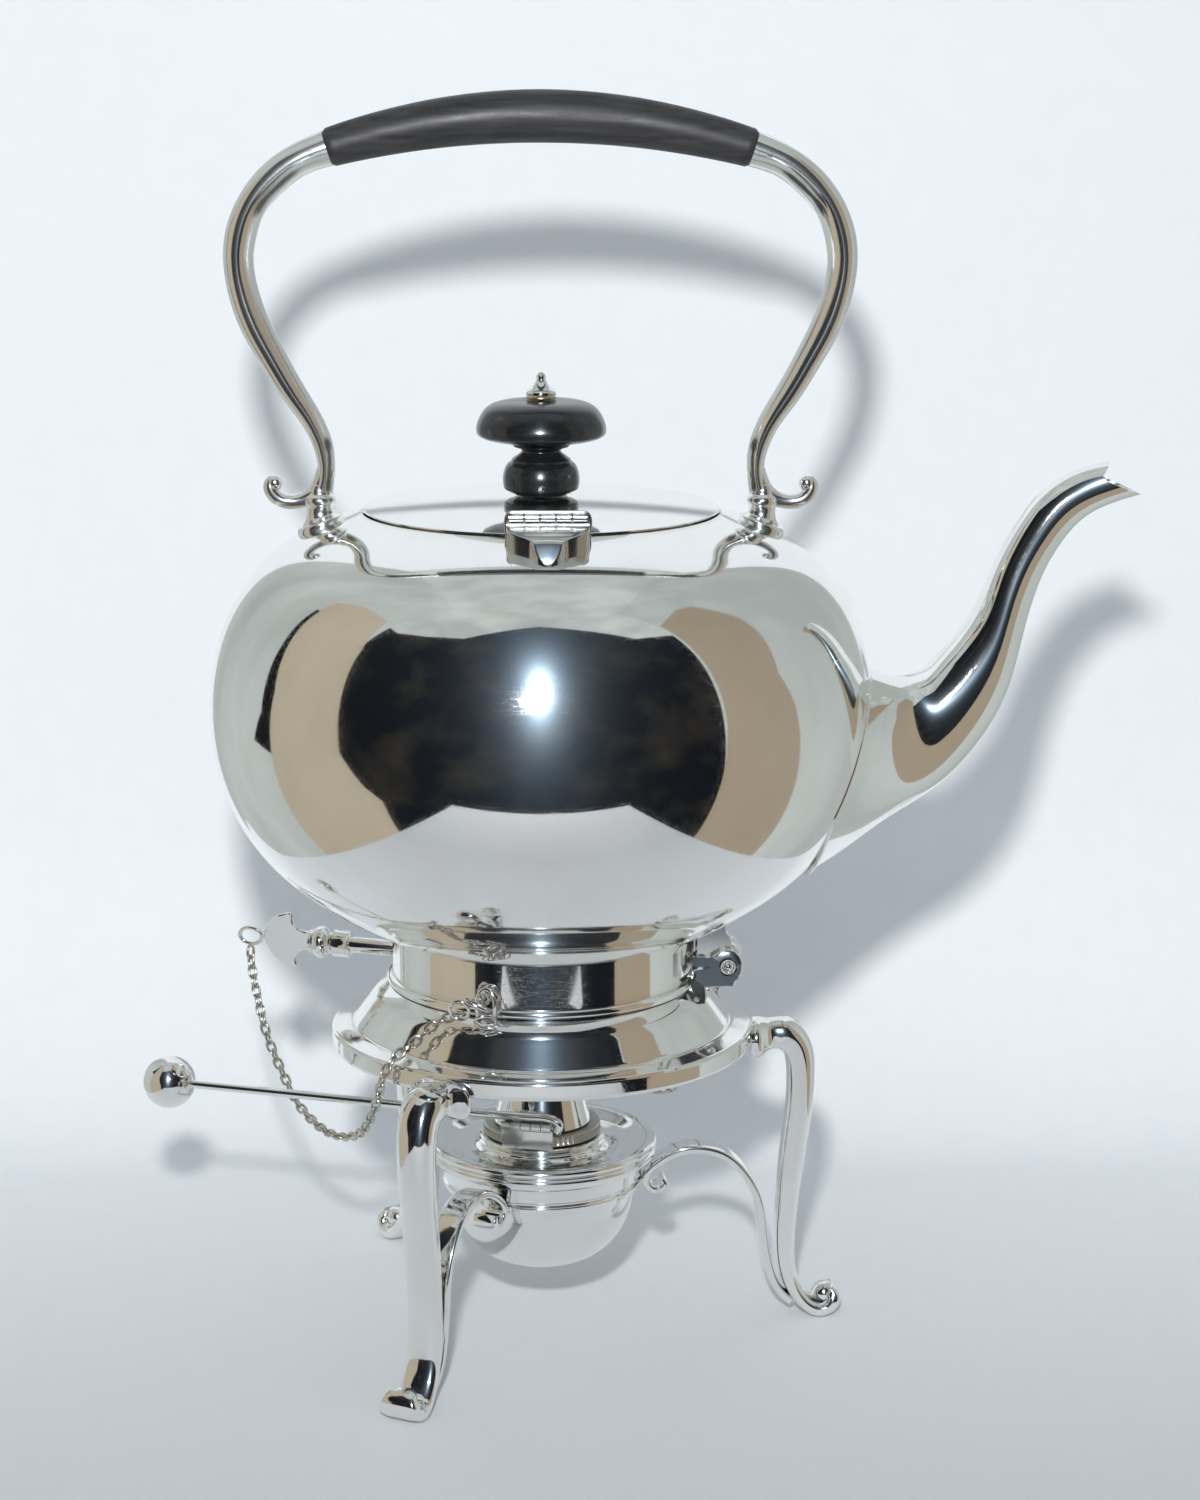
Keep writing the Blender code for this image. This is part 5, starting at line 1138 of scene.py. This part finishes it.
# %% Staples
staple_arch = np.array([  # reach, height, across
    (0.0423, 0.0985, -0.0023), (0.0427, 0.1018, -0.0025), (0.0425, 0.1048, -0.0020), (0.0422, 0.1064, 0),
    (0.0425, 0.1048, 0.0020), (0.0427, 0.1018, 0.0025), (0.0423, 0.0985, 0.0023)])
staple_wire = 0.0006
front_rings = [  # centre, first axis, second axis, radii along them, wire
    ((-0.0168, -0.0432, 0.1030), (0.90, -0.10, -0.42), (0.10, 0.97, -0.18), (0.0034, 0.0021), 0.00055),
    ((-0.0214, -0.0440, 0.1020), (0.93, -0.30, 0.15), (-0.18, -0.20, 0.96), (0.0026, 0.0027), 0.0005),
    ((-0.0146, -0.0447, 0.0990), (0.95, 0.25, -0.15), (0.08, -0.55, 0.83), (0.0028, 0.0024), 0.0005)]
back_rings = [((0.0180, 0.0452, 0.0995), (0.80, 0.55, 0.20), (-0.30, 0.10, 0.95), (0.0027, 0.0030), 0.0005)]


def staple_piece(label, angle, rings):
    """An arch of wire standing on the collar's bead, tangent to it, with its loose rings."""
    line = spline_through(around(angle, *staple_arch.T), 50)
    arch = grid_piece("staple_arch", wire_grid(line, staple_wire, 14))
    rings = [torus_piece("ring", np.add(place, (axis_x, 0, 0)), *shape) for place, *shape in rings]
    return fused("staple_%s_wire" % label, arch, *rings)


for label, angle, rings in (("front", 250, front_rings), ("back", 69, back_rings)):
    dress(staple_piece(label, angle, rings), cast_silver, "stand", "staple_" + label)
    print("staple %s: %d rings" % (label, len(rings)))

# %% [markdown]
# ## Legs and straps
# Each leg is a cast cabriole: flat behind, rounded in front, widest where it meets the rim,
# and curled up at the foot into a small ball. A flat strap springs from behind the foot and
# rises to the burner's ring. Both lie in upright planes through the kettle's axis. A bevelled
# curve has one section from end to end, so each is a section carried along stations instead:
# a station gives its place, thickness, width and tilt, and a spline runs through all four.

# %% Legs
leg_count, first_leg_angle = 3, 3
leg_front, leg_back, strap_corners = 1.1, 2.2, 2.2  # 1 is an ellipse, and more is boxier
leg_stations = [  # place, half thickness, half width, tilt in degrees
    ((0.0566, 0.0809), 0.0048, 0.0083, 90), ((0.0585, 0.0809), 0.0053, 0.0088, 90),
    ((0.0612, 0.0812), 0.0044, 0.0062, 90), ((0.0655, 0.0817), 0.0044, 0.0056, 70),
    ((0.0692, 0.0790), 0.0042, 0.0052, 38), ((0.0709, 0.0745), 0.0040, 0.0050, 12),
    ((0.0713, 0.0690), 0.0038, 0.0049, 0), ((0.0711, 0.0620), 0.0037, 0.0048, -5),
    ((0.0702, 0.0540), 0.0036, 0.0047, -7), ((0.0691, 0.0455), 0.0034, 0.0047, -7),
    ((0.0681, 0.0355), 0.0031, 0.0046, -5), ((0.0674, 0.0240), 0.0028, 0.0046, -1),
    ((0.0677, 0.0158), 0.0025, 0.0047, 9), ((0.0692, 0.0098), 0.0023, 0.0048, 27),
    ((0.0722, 0.0049), 0.0022, 0.0052, 52), ((0.0762, 0.0022), 0.0022, 0.0058, 84),
    ((0.0796, 0.0030), 0.0022, 0.0058, 128), ((0.0806, 0.0056), 0.0022, 0.0052, 180),
    ((0.0794, 0.0070), 0.0018, 0.0040, 230)]
foot_ball_reach, foot_ball_z, foot_ball_radius = 0.0786, 0.0052, 0.0036
strap_stations = [  # place, half thickness, half width, tilt in degrees
    ((0.0690, 0.0040), 0.0012, 0.0036, 46), ((0.0655, 0.0077), 0.0012, 0.0037, 38),
    ((0.0625, 0.0149), 0.0012, 0.0038, 14), ((0.0608, 0.0252), 0.0012, 0.0038, 7),
    ((0.0595, 0.0339), 0.0012, 0.0038, 16), ((0.0559, 0.0412), 0.0012, 0.0038, 38),
    ((0.0503, 0.0468), 0.0012, 0.0038, 58), ((0.0434, 0.0489), 0.0012, 0.0038, 90),
    ((0.0385, 0.0486), 0.0012, 0.0038, 102), ((0.0338, 0.0466), 0.0012, 0.0038, 128),
    ((0.0300, 0.0437), 0.0012, 0.0038, 150), ((0.0283, 0.0410), 0.0012, 0.0038, 182),
    ((0.0293, 0.0385), 0.0011, 0.0038, 225), ((0.0317, 0.0376), 0.0011, 0.0037, 272),
    ((0.0335, 0.0390), 0.0011, 0.0036, 350), ((0.0328, 0.0404), 0.0009, 0.0034, 405)]


def bar_grid(stations, angle, front, back, rows=140, columns=44):
    """A section carried along stations in an upright plane. Outwards it is half thickness *
    cos(a), across it is half width * sin(a), each raised to a power that sets how boxy the
    front and the back are, and a tilt turns it."""
    f = spline_through([(p[0], p[1], 0, t, w, tilt) for p, t, w, tilt in stations], rows)
    tilt = np.radians(f[:, 5:])
    a = np.linspace(0, 2 * pi, columns, endpoint=False)
    power = np.where(np.cos(a) > 0, 1 / front, 1 / back)
    u = np.sign(np.cos(a)) * np.abs(np.cos(a)) ** power * f[:, 3:4]
    v = np.sign(np.sin(a)) * np.abs(np.sin(a)) ** power * f[:, 4:5]
    return around(angle, f[:, :1] + u * np.cos(tilt), f[:, 1:2] + u * np.sin(tilt), v)


for k in range(leg_count):
    angle = first_leg_angle + 360 / leg_count * k
    grid = bar_grid(leg_stations, angle, leg_front, leg_back)
    grid[..., 2] = np.maximum(grid[..., 2], 0)
    ball = ball_piece("foot", around(angle, foot_ball_reach, foot_ball_z), foot_ball_radius, 40)
    leg = fused("leg_casting_%d" % (k + 1), grid_piece("leg_bar", grid, angle=60), ball, angle=60)
    dress(leg, silver, "stand", "leg_%d" % (k + 1))
    grid = bar_grid(strap_stations, angle, strap_corners, strap_corners, columns=32)
    strap = grid_piece("strap_bar_%d" % (k + 1), grid, angle=60)
    dress(strap, silver, "stand", "strap_%d" % (k + 1))
    print("leg and strap at %d degrees" % angle)

# %% [markdown]
# ## Burner and snuffer
# The burner is a small bowl with a stepped top, held in the stand's ring. A milled ring round
# the wick holder gives fingers a hold, and the snuffer's cap swings on a five-knuckle hinge.
# All but the lever are turned. The milling is worked out in the mesh, not painted as a bump,
# because its teeth show against the light at the ring's edge.

# %% Burner
ring_low, ring_high, ring_radius = between("burner_ring")
bowl_low, bowl_high, bowl_radius = between("burner_bowl")
plate_low, plate_high, plate_radius = between("burner_plate")
ring_wall, bowl_wall, bowl_turn_z, bowl_rise, bowl_flat = 0.0016, 0.0009, 0.0400, 0.0017, 0.32
wick_hole, plate_wall, edge_drop = 0.0093, 0.0046, 0.0012


def burner_ring_outline():
    """A band with a small round moulding along its lower edge."""
    inner, r, low = ring_radius - ring_wall, ring_radius, ring_low
    return softened([(inner, ring_high), (r, ring_high), (r, low + 0.0030), (r - 0.0007, low + 0.0024),
                     (r - 0.0007, low + 0.0019), (r, low + 0.0013), (r - 0.0002, low), (inner, low)],
                    0.0003, closed=True)


def bowl_outline():
    """A flattened half round under a short upright band, and its inside."""
    a = np.linspace(0, pi / 2, 40)
    bottom = bowl_low + bowl_rise
    reach = bowl_radius * (bowl_flat + (1 - bowl_flat) * np.cos(a))
    curve = np.stack([reach, bowl_turn_z - (bowl_turn_z - bottom) * np.sin(a)], axis=1)
    outer = np.concatenate([[(bowl_radius, bowl_high)], curve, [(0, bottom)]])
    inner = np.concatenate([[(bowl_radius - bowl_wall, bowl_high)], curve - (bowl_wall, 0), [(0, bottom)]])
    inner[1:, 1] += bowl_wall
    return np.concatenate([inner[::-1], outer])


def plate_outline():
    """From the wick holder outwards: rings, a dished slope, a double moulding at the edge."""
    r, top, edge = plate_radius, plate_high, plate_high - edge_drop
    rings = [(0.0166, 0), (0.0171, 0.0004), (0.0171, 0.0009), (0.0165, 0.0013), (0.0173, 0.0018),
             (0.0175, 0.0024), (0.0186, 0.0032), (0.0210, 0.0035), (0.0242, 0.0028)]
    lip = [(0.0272, 0.0005), (0.0285, 0.0001), (0.0300, 0), (0.0310, 0.0003)]
    mouldings = [(0.0001, 0.0010), (0.0003, 0.0018), (0.0011, 0.0023), (0.0010, 0.0027), (0.0003, 0.0031),
                 (0.0002, 0.0039), (0.0009, 0.0047)]
    under = [(r - 0.0022, plate_low + 0.0003), (ring_radius, plate_low), (0.0223, plate_low),
             (0.0223, top - 0.0052), (0.0166, top - plate_wall), (wick_hole, top - plate_wall)]
    outline = [(wick_hole, top)] + [(x, top - down) for x, down in rings]
    outline += [(x, edge - down) for x, down in lip]
    outline += [(r - back, edge - down) for back, down in mouldings] + under
    return softened(outline, 0.0004, closed=True)


dress(turned_piece("burner_ring_band", burner_ring_outline(), 160, closed=True), silver, "stand", "burner_ring")
dress(turned_piece("reservoir_bowl", bowl_outline(), 144), silver, "burner", "burner_bowl")
dress(turned_piece("reservoir_top", plate_outline(), 192, closed=True), silver, "burner", "burner_plate")
print("burner: %.1f mm across" % (2000 * plate_radius))

# %% Milled ring
milled_low, milled_high, milled_radius = between("milled_ring")
milled_radius -= 0.0006  # the teeth's tips end a little inside the frame's plain ring
milled_edge, tooth_count, tooth_columns, tooth_depth = 0.0004, 64, 4, 0.00045
milled_rows = [  # share of the height, and how far the teeth are cut in
    (0.16, 0), (0.22, 1), (0.78, 1), (0.84, 0)]
tube_wall = 0.0009


def milled_grid():
    """A ring whose outer radius is less by depth * (1 - cos(teeth * angle)) / 2 between two
    plain bands."""
    angle = np.linspace(0, 2 * pi, tooth_count * tooth_columns, endpoint=False)
    wave = (1 - np.cos(angle * tooth_count)) / 2
    height, r = milled_high - milled_low, milled_radius
    rows = [(wick_hole, milled_low, 0), (r - milled_edge, milled_low, 0), (r, milled_low + 0.0003, 0)]
    rows += [(r, milled_low + share * height, cut) for share, cut in milled_rows]
    rows += [(r - milled_edge, milled_high, 0), (wick_hole, milled_high, 0)]
    radius, z, cut = np.array(rows).T[:, :, None]
    radius = radius - cut * tooth_depth * wave
    return np.stack([axis_x + radius * np.cos(angle), radius * np.sin(angle), z + 0 * angle], axis=-1)


milled = grid_piece("milled_grip", milled_grid(), rows_closed=True, angle=35)
dress(milled, milled_metal, "burner", "milled_ring")
tube = band(*between("wick_tube"), tube_wall, 0.0002)
dress(turned_piece("wick_holder", tube, 96, closed=True), brass, "burner", "wick_tube")
print("milled ring: %d teeth" % tooth_count)

# %% Snuffer
cap_low, cap_high, cap_radius = between("snuffer_cap")
cap_taper, cap_crown, cap_wall, cap_power = radians(15), 0.0030, 0.0009, 0.8


def snuffer_outline():
    """A tapered thimble: straight side, round crown, and the same line inside."""
    top_radius = cap_radius - np.tan(cap_taper) * (cap_high - cap_low - cap_crown)
    a = np.linspace(pi / 2, radians(8), 24)
    height = cap_high - cap_crown + cap_crown * np.sin(a)
    dome = np.stack([top_radius * np.cos(a) ** cap_power, height], axis=1)
    foot = softened([dome[-1], (cap_radius, cap_low), (cap_radius - cap_wall, cap_low)], 0.0003, 3)[1:]
    inner = np.stack([np.maximum(dome[:, 0] - cap_wall, 0), dome[:, 1] - cap_wall], axis=1)
    return np.concatenate([dome, foot, inner[::-1]])


dress(turned_piece("snuffer_thimble", snuffer_outline(), 120), silver, "snuffer", "snuffer_cap")
ball_low, ball_high = box_of("lever_ball")
ball_centre, ball_radius = (ball_low + ball_high) / 2, float(ball_high[2] - ball_low[2]) / 2
dress(ball_piece("lever_knob", ball_centre, ball_radius, 72), silver, "snuffer", "lever_ball")

# %% Lever
hinge_angle, hinge_reach, hinge_z, hinge_half, rod_radius = 257, 0.0190, 0.0617, 0.0070, 0.00115
hook_rise, hook_run, hook_reach, rod_in_ball = 0.0010, 0.0006, 0.002, 0.0006
straight_from, settled_at = 0.6, 0.15  # shares of the hinge's half length, and of the way to the ball
hinge_centre = around(hinge_angle, hinge_reach, hinge_z)
hinge_along = around(hinge_angle + 90, 1, 0) - (axis_x, 0, 0)
upwards = np.array([0, 0, 1.0])


def lever_path():
    """From a hook at the hinge's end, over the knuckles, and straight on to the ball."""
    over = hinge_centre + upwards * (knuckle_radius + gap + rod_radius)
    end = hinge_centre + hinge_along * (hinge_half + rod_radius + gap)
    hook = spline_through([end - upwards * hook_rise, end + hinge_along * hook_run + upwards * hook_rise,
                           over + hinge_along * (hinge_half - rod_radius), over + hinge_along * hook_reach], 36)
    far = over - hinge_along * hinge_half
    way = ball_centre - far
    stop = ball_centre - way / np.linalg.norm(way) * (ball_radius - rod_in_ball)
    bend = [over, over - hinge_along * hinge_half * straight_from, far + (stop - far) * settled_at, stop]
    return np.concatenate([hook, spline_through(bend, 60)])


dress(grid_piece("lever_wire", wire_grid(lever_path(), rod_radius, 24)), silver, "snuffer", "lever_rod")
print("snuffer: cap %.1f mm high" % (1000 * (cap_high - cap_low)))

# %% [markdown]
# ## Carried-over pieces
# What is flat, small or hidden is already right in the frame: leaves, pins, rivets, the stud
# and its nut, and the wick. These keep the frame's own solid, because a finer mesh would show
# nothing more, and get one of the finishes above in each of their material slots.

# %% Finishes on frame nodes
node_finishes = [
    (cast_silver, ("lock_block", "grip_rivet_left", "grip_rivet_right", "lid_hinge_pin", "knob_stud",
                   "burner_hinge_leaf", "snuffer_hinge_pin", "snuffer_hinge_leaf")),
    (brass, ("knob_nut",)), (cotton, ("wick",))]
for finish, nodes in node_finishes:
    for node in nodes:
        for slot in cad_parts[node].material_slots:
            slot.material = finish
    print(finish.name, "on", ", ".join(nodes))

# %% [markdown]
# ## Studio
# The kettle stands on a pale sheet that sweeps up close behind it. What polished silver shows
# is the studio itself: the sheet ends 0.4 m in front of the kettle, plywood boards stand at
# both sides, pale cloth hangs beside and above, and through the open front the silver sees a
# dark room and one lamp over the camera. The boards and cloths are glowing cards that only
# reflections see: their glow is a painted reflection of lit boards and cloth. An ordinary wall
# would hide the kettle from behind, and silver would miss one left out, so the wall is clear
# for a camera that looks at its back.

# %% Floor and sweep
sweep_front, sweep_bend, sweep_back, sweep_row, sweep_top = -0.385, 0.09, 0.21, 0.50, 0.60
sheet_left, sheet_right, floor_side, floor_front, floor_z = -0.205, 0.200, 1.2, -2.5, -0.0001
# Painted shade: the sheet's colour turns much greyer towards its front edge, where less light falls on the
# floor.
near_paper_painted_shade, far_paper = (0.46, 0.475, 0.485), ((0.83, 0.865, 0.885), (0.85, 0.88, 0.895))
paper_shade_from, paper_shade_to = -0.19, 0.15


def strip_piece(name, profile, low, high):
    """A profile of (distance, height) drawn out along X, from low to high."""
    distance, height = np.asarray(profile, dtype=float).T[:, :, None]
    grid = np.stack(np.broadcast_arrays(np.linspace(low, high, 3), distance, height), axis=-1)
    mesh = bpy.data.meshes.new(name)
    mesh.from_pydata(grid.reshape(-1, 3).tolist(), [], grid_faces(*grid.shape[:2], ring_closed=False))
    if mesh.polygons[0].normal.z < 0:
        mesh.flip_normals()
    mesh.shade_smooth()
    item = linked(name, mesh)
    item.location = (axis_x, 0, floor_z)
    return item


def sweep_profile():
    """Floor, quarter circle and wall, as (distance, height)."""
    a = np.linspace(-pi / 2, 0, 40)
    curve = sweep_bend * np.stack([np.cos(a), np.sin(a)], axis=1) + (sweep_back - sweep_bend, sweep_bend)
    return np.concatenate([[(sweep_front, 0), (sweep_front / 2, 0)], curve,
                           [(sweep_back, sweep_row), (sweep_back, sweep_top)]])


def paper_finish():
    """Pale paper, greyer towards the front edge as painted shade, and clear where a camera ray meets its back.
    """
    material, tree, shader = new_material("pale_paper", (0.80, 0.84, 0.87), 0.9, 0.0)
    fibre = noise(tree, coordinates(tree, (120, 120, 120)), detail=4.0)
    distance = add_node(tree, "SeparateXYZ", {"Vector": coordinates(tree, (1, 1, 1))}).outputs["Y"]
    # Painted shade: the share of pale paper grows from the front edge backwards.
    far = ramp(tree, distance, paper_shade_from, paper_shade_to)
    pale = mix_colour(tree, ramp(tree, fibre, 0.3, 0.7), *far_paper)
    tree.links.new(mix_colour(tree, far, near_paper_painted_shade, pale), shader.inputs["Base Color"])
    behind = calculate(tree, "MULTIPLY", add_node(tree, "NewGeometry", {}).outputs["Backfacing"],
                       add_node(tree, "LightPath", {}).outputs["Is Camera Ray"])
    clear = add_node(tree, "BsdfTransparent", {}).outputs["BSDF"]
    either = add_node(tree, "MixShader", {"Fac": behind, 1: shader.outputs["BSDF"], 2: clear})
    tree.links.new(either.outputs["Shader"], tree.nodes["Material Output"].inputs["Surface"])
    return material


paper = paper_finish()
sweep = strip_piece("sweep", sweep_profile(), sheet_left, sheet_right)
around_it = [strip_piece("floor_in_front", [(floor_front, 0), (sweep_front, 0)], -floor_side, floor_side),
             strip_piece("sweep_left", sweep_profile(), -floor_side, sheet_left),
             strip_piece("sweep_right", sweep_profile(), sheet_right, floor_side)]
for item in around_it:
    item.visible_glossy = False
for item in [sweep] + around_it:
    item.data.materials.append(paper)
print("sheet: %.0f mm wide, with plain floor round it" % (1000 * (sheet_right - sheet_left)))


# %% Cards
def card(name, corners, colour, patchy=0.0):
    """A flat card with its own glow, seen in reflections alone. Clouds of noise darken it by up
    to a share, because cloth and plywood are never quite even."""
    mesh = bpy.data.meshes.new(name)
    mesh.from_pydata([(axis_x + x, y, z) for x, y, z in corners], [], [range(len(corners))])
    item = linked(name, mesh)
    material = bpy.data.materials.new(name)
    material.use_nodes = True
    tree = material.node_tree
    tree.nodes.clear()
    cloud = ramp(tree, noise(tree, coordinates(tree, (7, 7, 3)), detail=3.0), 0.35, 0.65)
    darker = tuple(c * (1 - patchy) for c in colour)
    glow = add_node(tree, "Emission", {"Color": mix_colour(tree, cloud, darker, colour)})
    add_node(tree, "OutputMaterial", {"Surface": glow.outputs["Emission"]})
    mesh.materials.append(material)
    item.visible_camera = item.visible_diffuse = item.visible_shadow = item.visible_transmission = False


# The card colours below are glow. Each is a painted reflection of the light that lit plywood or cloth sends
# back, so the brightness of each board and cloth is painted too.
plywood_left_glow, plywood_right_glow, gap_shade_glow = (0.48, 0.425, 0.335), (0.36, 0.305, 0.23), (0.004, 0.004, 0.005)
cloth, top_cloth_glow, top_z, flap_y = (0.525, 0.572, 0.562), (0.565, 0.62, 0.61), 0.80, 0.195
upright_cards = [  # name, place along X, corners as (distance, height), colour, patchiness
    ("board_left", -0.226, [
        (-0.220, -0.20), (-0.008, -0.20), (-0.014, 0.20), (0.009, 0.291), (0.030, 0.385), (-0.015, 0.430),
        (-0.085, 0.440), (-0.112, 0.324), (-0.122, 0.240), (-0.131, 0.15), (-0.166, 0.097),
        (-0.196, 0.063)], plywood_left_glow, 0.12),
    ("board_right", 0.214, [
        (-0.175, -0.20), (0.004, -0.20), (-0.042, 0.19), (-0.052, 0.235), (-0.034, 0.302), (-0.027, 0.354),
        (-0.034, 0.477), (-0.065, 0.510), (-0.150, 0.500), (-0.151, 0.20), (-0.162, 0.045)],
     plywood_right_glow, 0.12),
    # Painted shade: this card's near-black glow is the dark of the gap beside the left board, seen in
    # reflections.
    ("dark_gap_left", -0.229, [
        (-0.03, 0.13), (0.024, 0.142), (0.007, 0.174), (0.009, 0.212), (0.013, 0.257), (0.030, 0.345),
        (0.0, 0.345)], gap_shade_glow, 0.0),
    ("cloth_left", -0.235, [(-0.10, -0.25), (0.35, -0.25), (0.35, 0.80), (-0.115, 0.80)], cloth, 0.25),
    ("cloth_right", 0.222, [(-0.16, -0.25), (0.35, -0.25), (0.35, 0.80), (-0.16, 0.80)], cloth, 0.25)]
flap = [(-0.24, 0.02), (-0.175, 0.02), (-0.165, 0.60), (-0.24, 0.60)]
ceiling = [(-0.55, -0.24), (-0.44, -0.33), (-0.29, -0.40), (-0.01, -0.318), (0.36, -0.386), (0.52, -0.28),
           (0.52, 0.75), (-0.55, 0.75)]
for name, place, corners, colour, patchy in upright_cards:
    card(name, [(place, y, z) for y, z in corners], colour, patchy)
card("cloth_flap_left", [(x, flap_y, z) for x, z in flap], cloth, 0.25)
card("cloth_top", [(x, y, top_z) for x, y in ceiling], top_cloth_glow, 0.25)

# %% [markdown]
# ## World, lamp and camera
# A ray that leaves the studio meets the world. An image of a real room would be the usual
# choice, but here each kind of ray gets what it needs from a few nodes. Mirror rays see a dark
# room with a bluish halo round the lamp, because dull silver spreads a bright spot. The halo is
# an ellipse that is taller than it is wide. Other rays get plain soft light, and a camera that
# looks past the paper sees a pale ground. One small round lamp over the camera gives the
# sharp highlights and the soft shadow. The camera is a long lens a little under a metre away.

# %% World
room_dark, room_lit = (0.003, 0.004, 0.006), (0.030, 0.026, 0.020)
halo_towards = Vector((-0.012, -0.888, 0.460)).normalized()
halo_squeeze, halo_core, halo_power, halo_strength = (1.65, 0.5, 0.58), 0.004, -1.25, 0.0078
halo_tint, pale_ground = (0.74, 1.0, 1.28), (0.80, 0.87, 0.91)
soft_light, soft_strength = (0.86, 0.92, 1.0), 0.46
world = bpy.data.worlds.new("studio")
bpy.context.scene.world = world
world.use_nodes = True
world.node_tree.nodes.clear()


def mirrored_room(tree):
    """Dark room + tint * strength * (squeezed distance from the lamp squared + core) ^ power."""
    direction = add_node(tree, "TexCoord", {}).outputs["Generated"]
    room = ramp(tree, noise(tree, direction, scale=3.5, detail=4.0), 0.45, 0.75)
    away = calculate_vector(tree, "SUBTRACT", direction, halo_towards)
    distance = calculate_vector(tree, "LENGTH", calculate_vector(tree, "MULTIPLY", away, halo_squeeze))
    core = calculate(tree, "ADD", calculate(tree, "POWER", distance, 2.0), halo_core)
    halo = calculate(tree, "MULTIPLY", calculate(tree, "POWER", core, halo_power), halo_strength)
    return calculate_vector(tree, "MULTIPLY_ADD", halo, halo_tint, mix_colour(tree, room, room_dark, room_lit))


def background(tree, colour, strength=1.0):
    """Light of one colour, or of a colour that a socket gives."""
    colour = (*colour, 1) if isinstance(colour, tuple) else colour
    return add_node(tree, "Background", {"Color": colour, "Strength": strength}).outputs["Background"]


def by_ray(tree, share, first, second):
    """The first light for other rays and the second for the rays that share names."""
    return add_node(tree, "MixShader", {"Fac": share, 1: first, 2: second}).outputs["Shader"]


tree = world.node_tree
rays = add_node(tree, "LightPath", {}).outputs
mirror_ray = calculate(tree, "MAXIMUM", rays["Is Glossy Ray"], rays["Is Transmission Ray"])
soft = background(tree, soft_light, soft_strength)
lit = by_ray(tree, mirror_ray, soft, background(tree, mirrored_room(tree)))
seen = by_ray(tree, rays["Is Camera Ray"], lit, background(tree, pale_ground))
add_node(tree, "OutputWorld", {"Surface": seen})
print("world: %d nodes" % len(tree.nodes))

# %% Lamp
lamp_place, lamp_aim, lamp_size, lamp_power = (axis_x - 0.034, -0.90, 0.53), (axis_x, 0, 0.16), 0.05, 7.8
light = bpy.data.lights.new("lamp_over_camera", "AREA")
light.shape, light.size, light.energy = "DISK", lamp_size, lamp_power
lamp = linked("lamp_over_camera", light)
lamp.location = lamp_place
lamp.rotation_euler = (Vector(lamp_aim) - Vector(lamp_place)).to_track_quat("-Z", "Y").to_euler()
print("lamp: %.0f mm across, %.1f W" % (1000 * lamp_size, lamp_power))

# %% Camera
focal_length, sensor_width = 82.58, 36
camera_place, camera_turn = (axis_x, -0.900, 0.35985), (77.56, -0.13, -0.967)
camera_data = bpy.data.cameras.new("photograph")
camera_data.lens, camera_data.sensor_width = focal_length, sensor_width
camera = linked("photograph", camera_data)
camera.location = camera_place
camera.rotation_euler = [radians(turn) for turn in camera_turn]
bpy.context.scene.camera = camera
bpy.context.scene.view_settings.view_transform = "Standard"
print("camera: %.0f mm lens, %.0f mm from the axis" % (focal_length, -1000 * camera_place[1]))
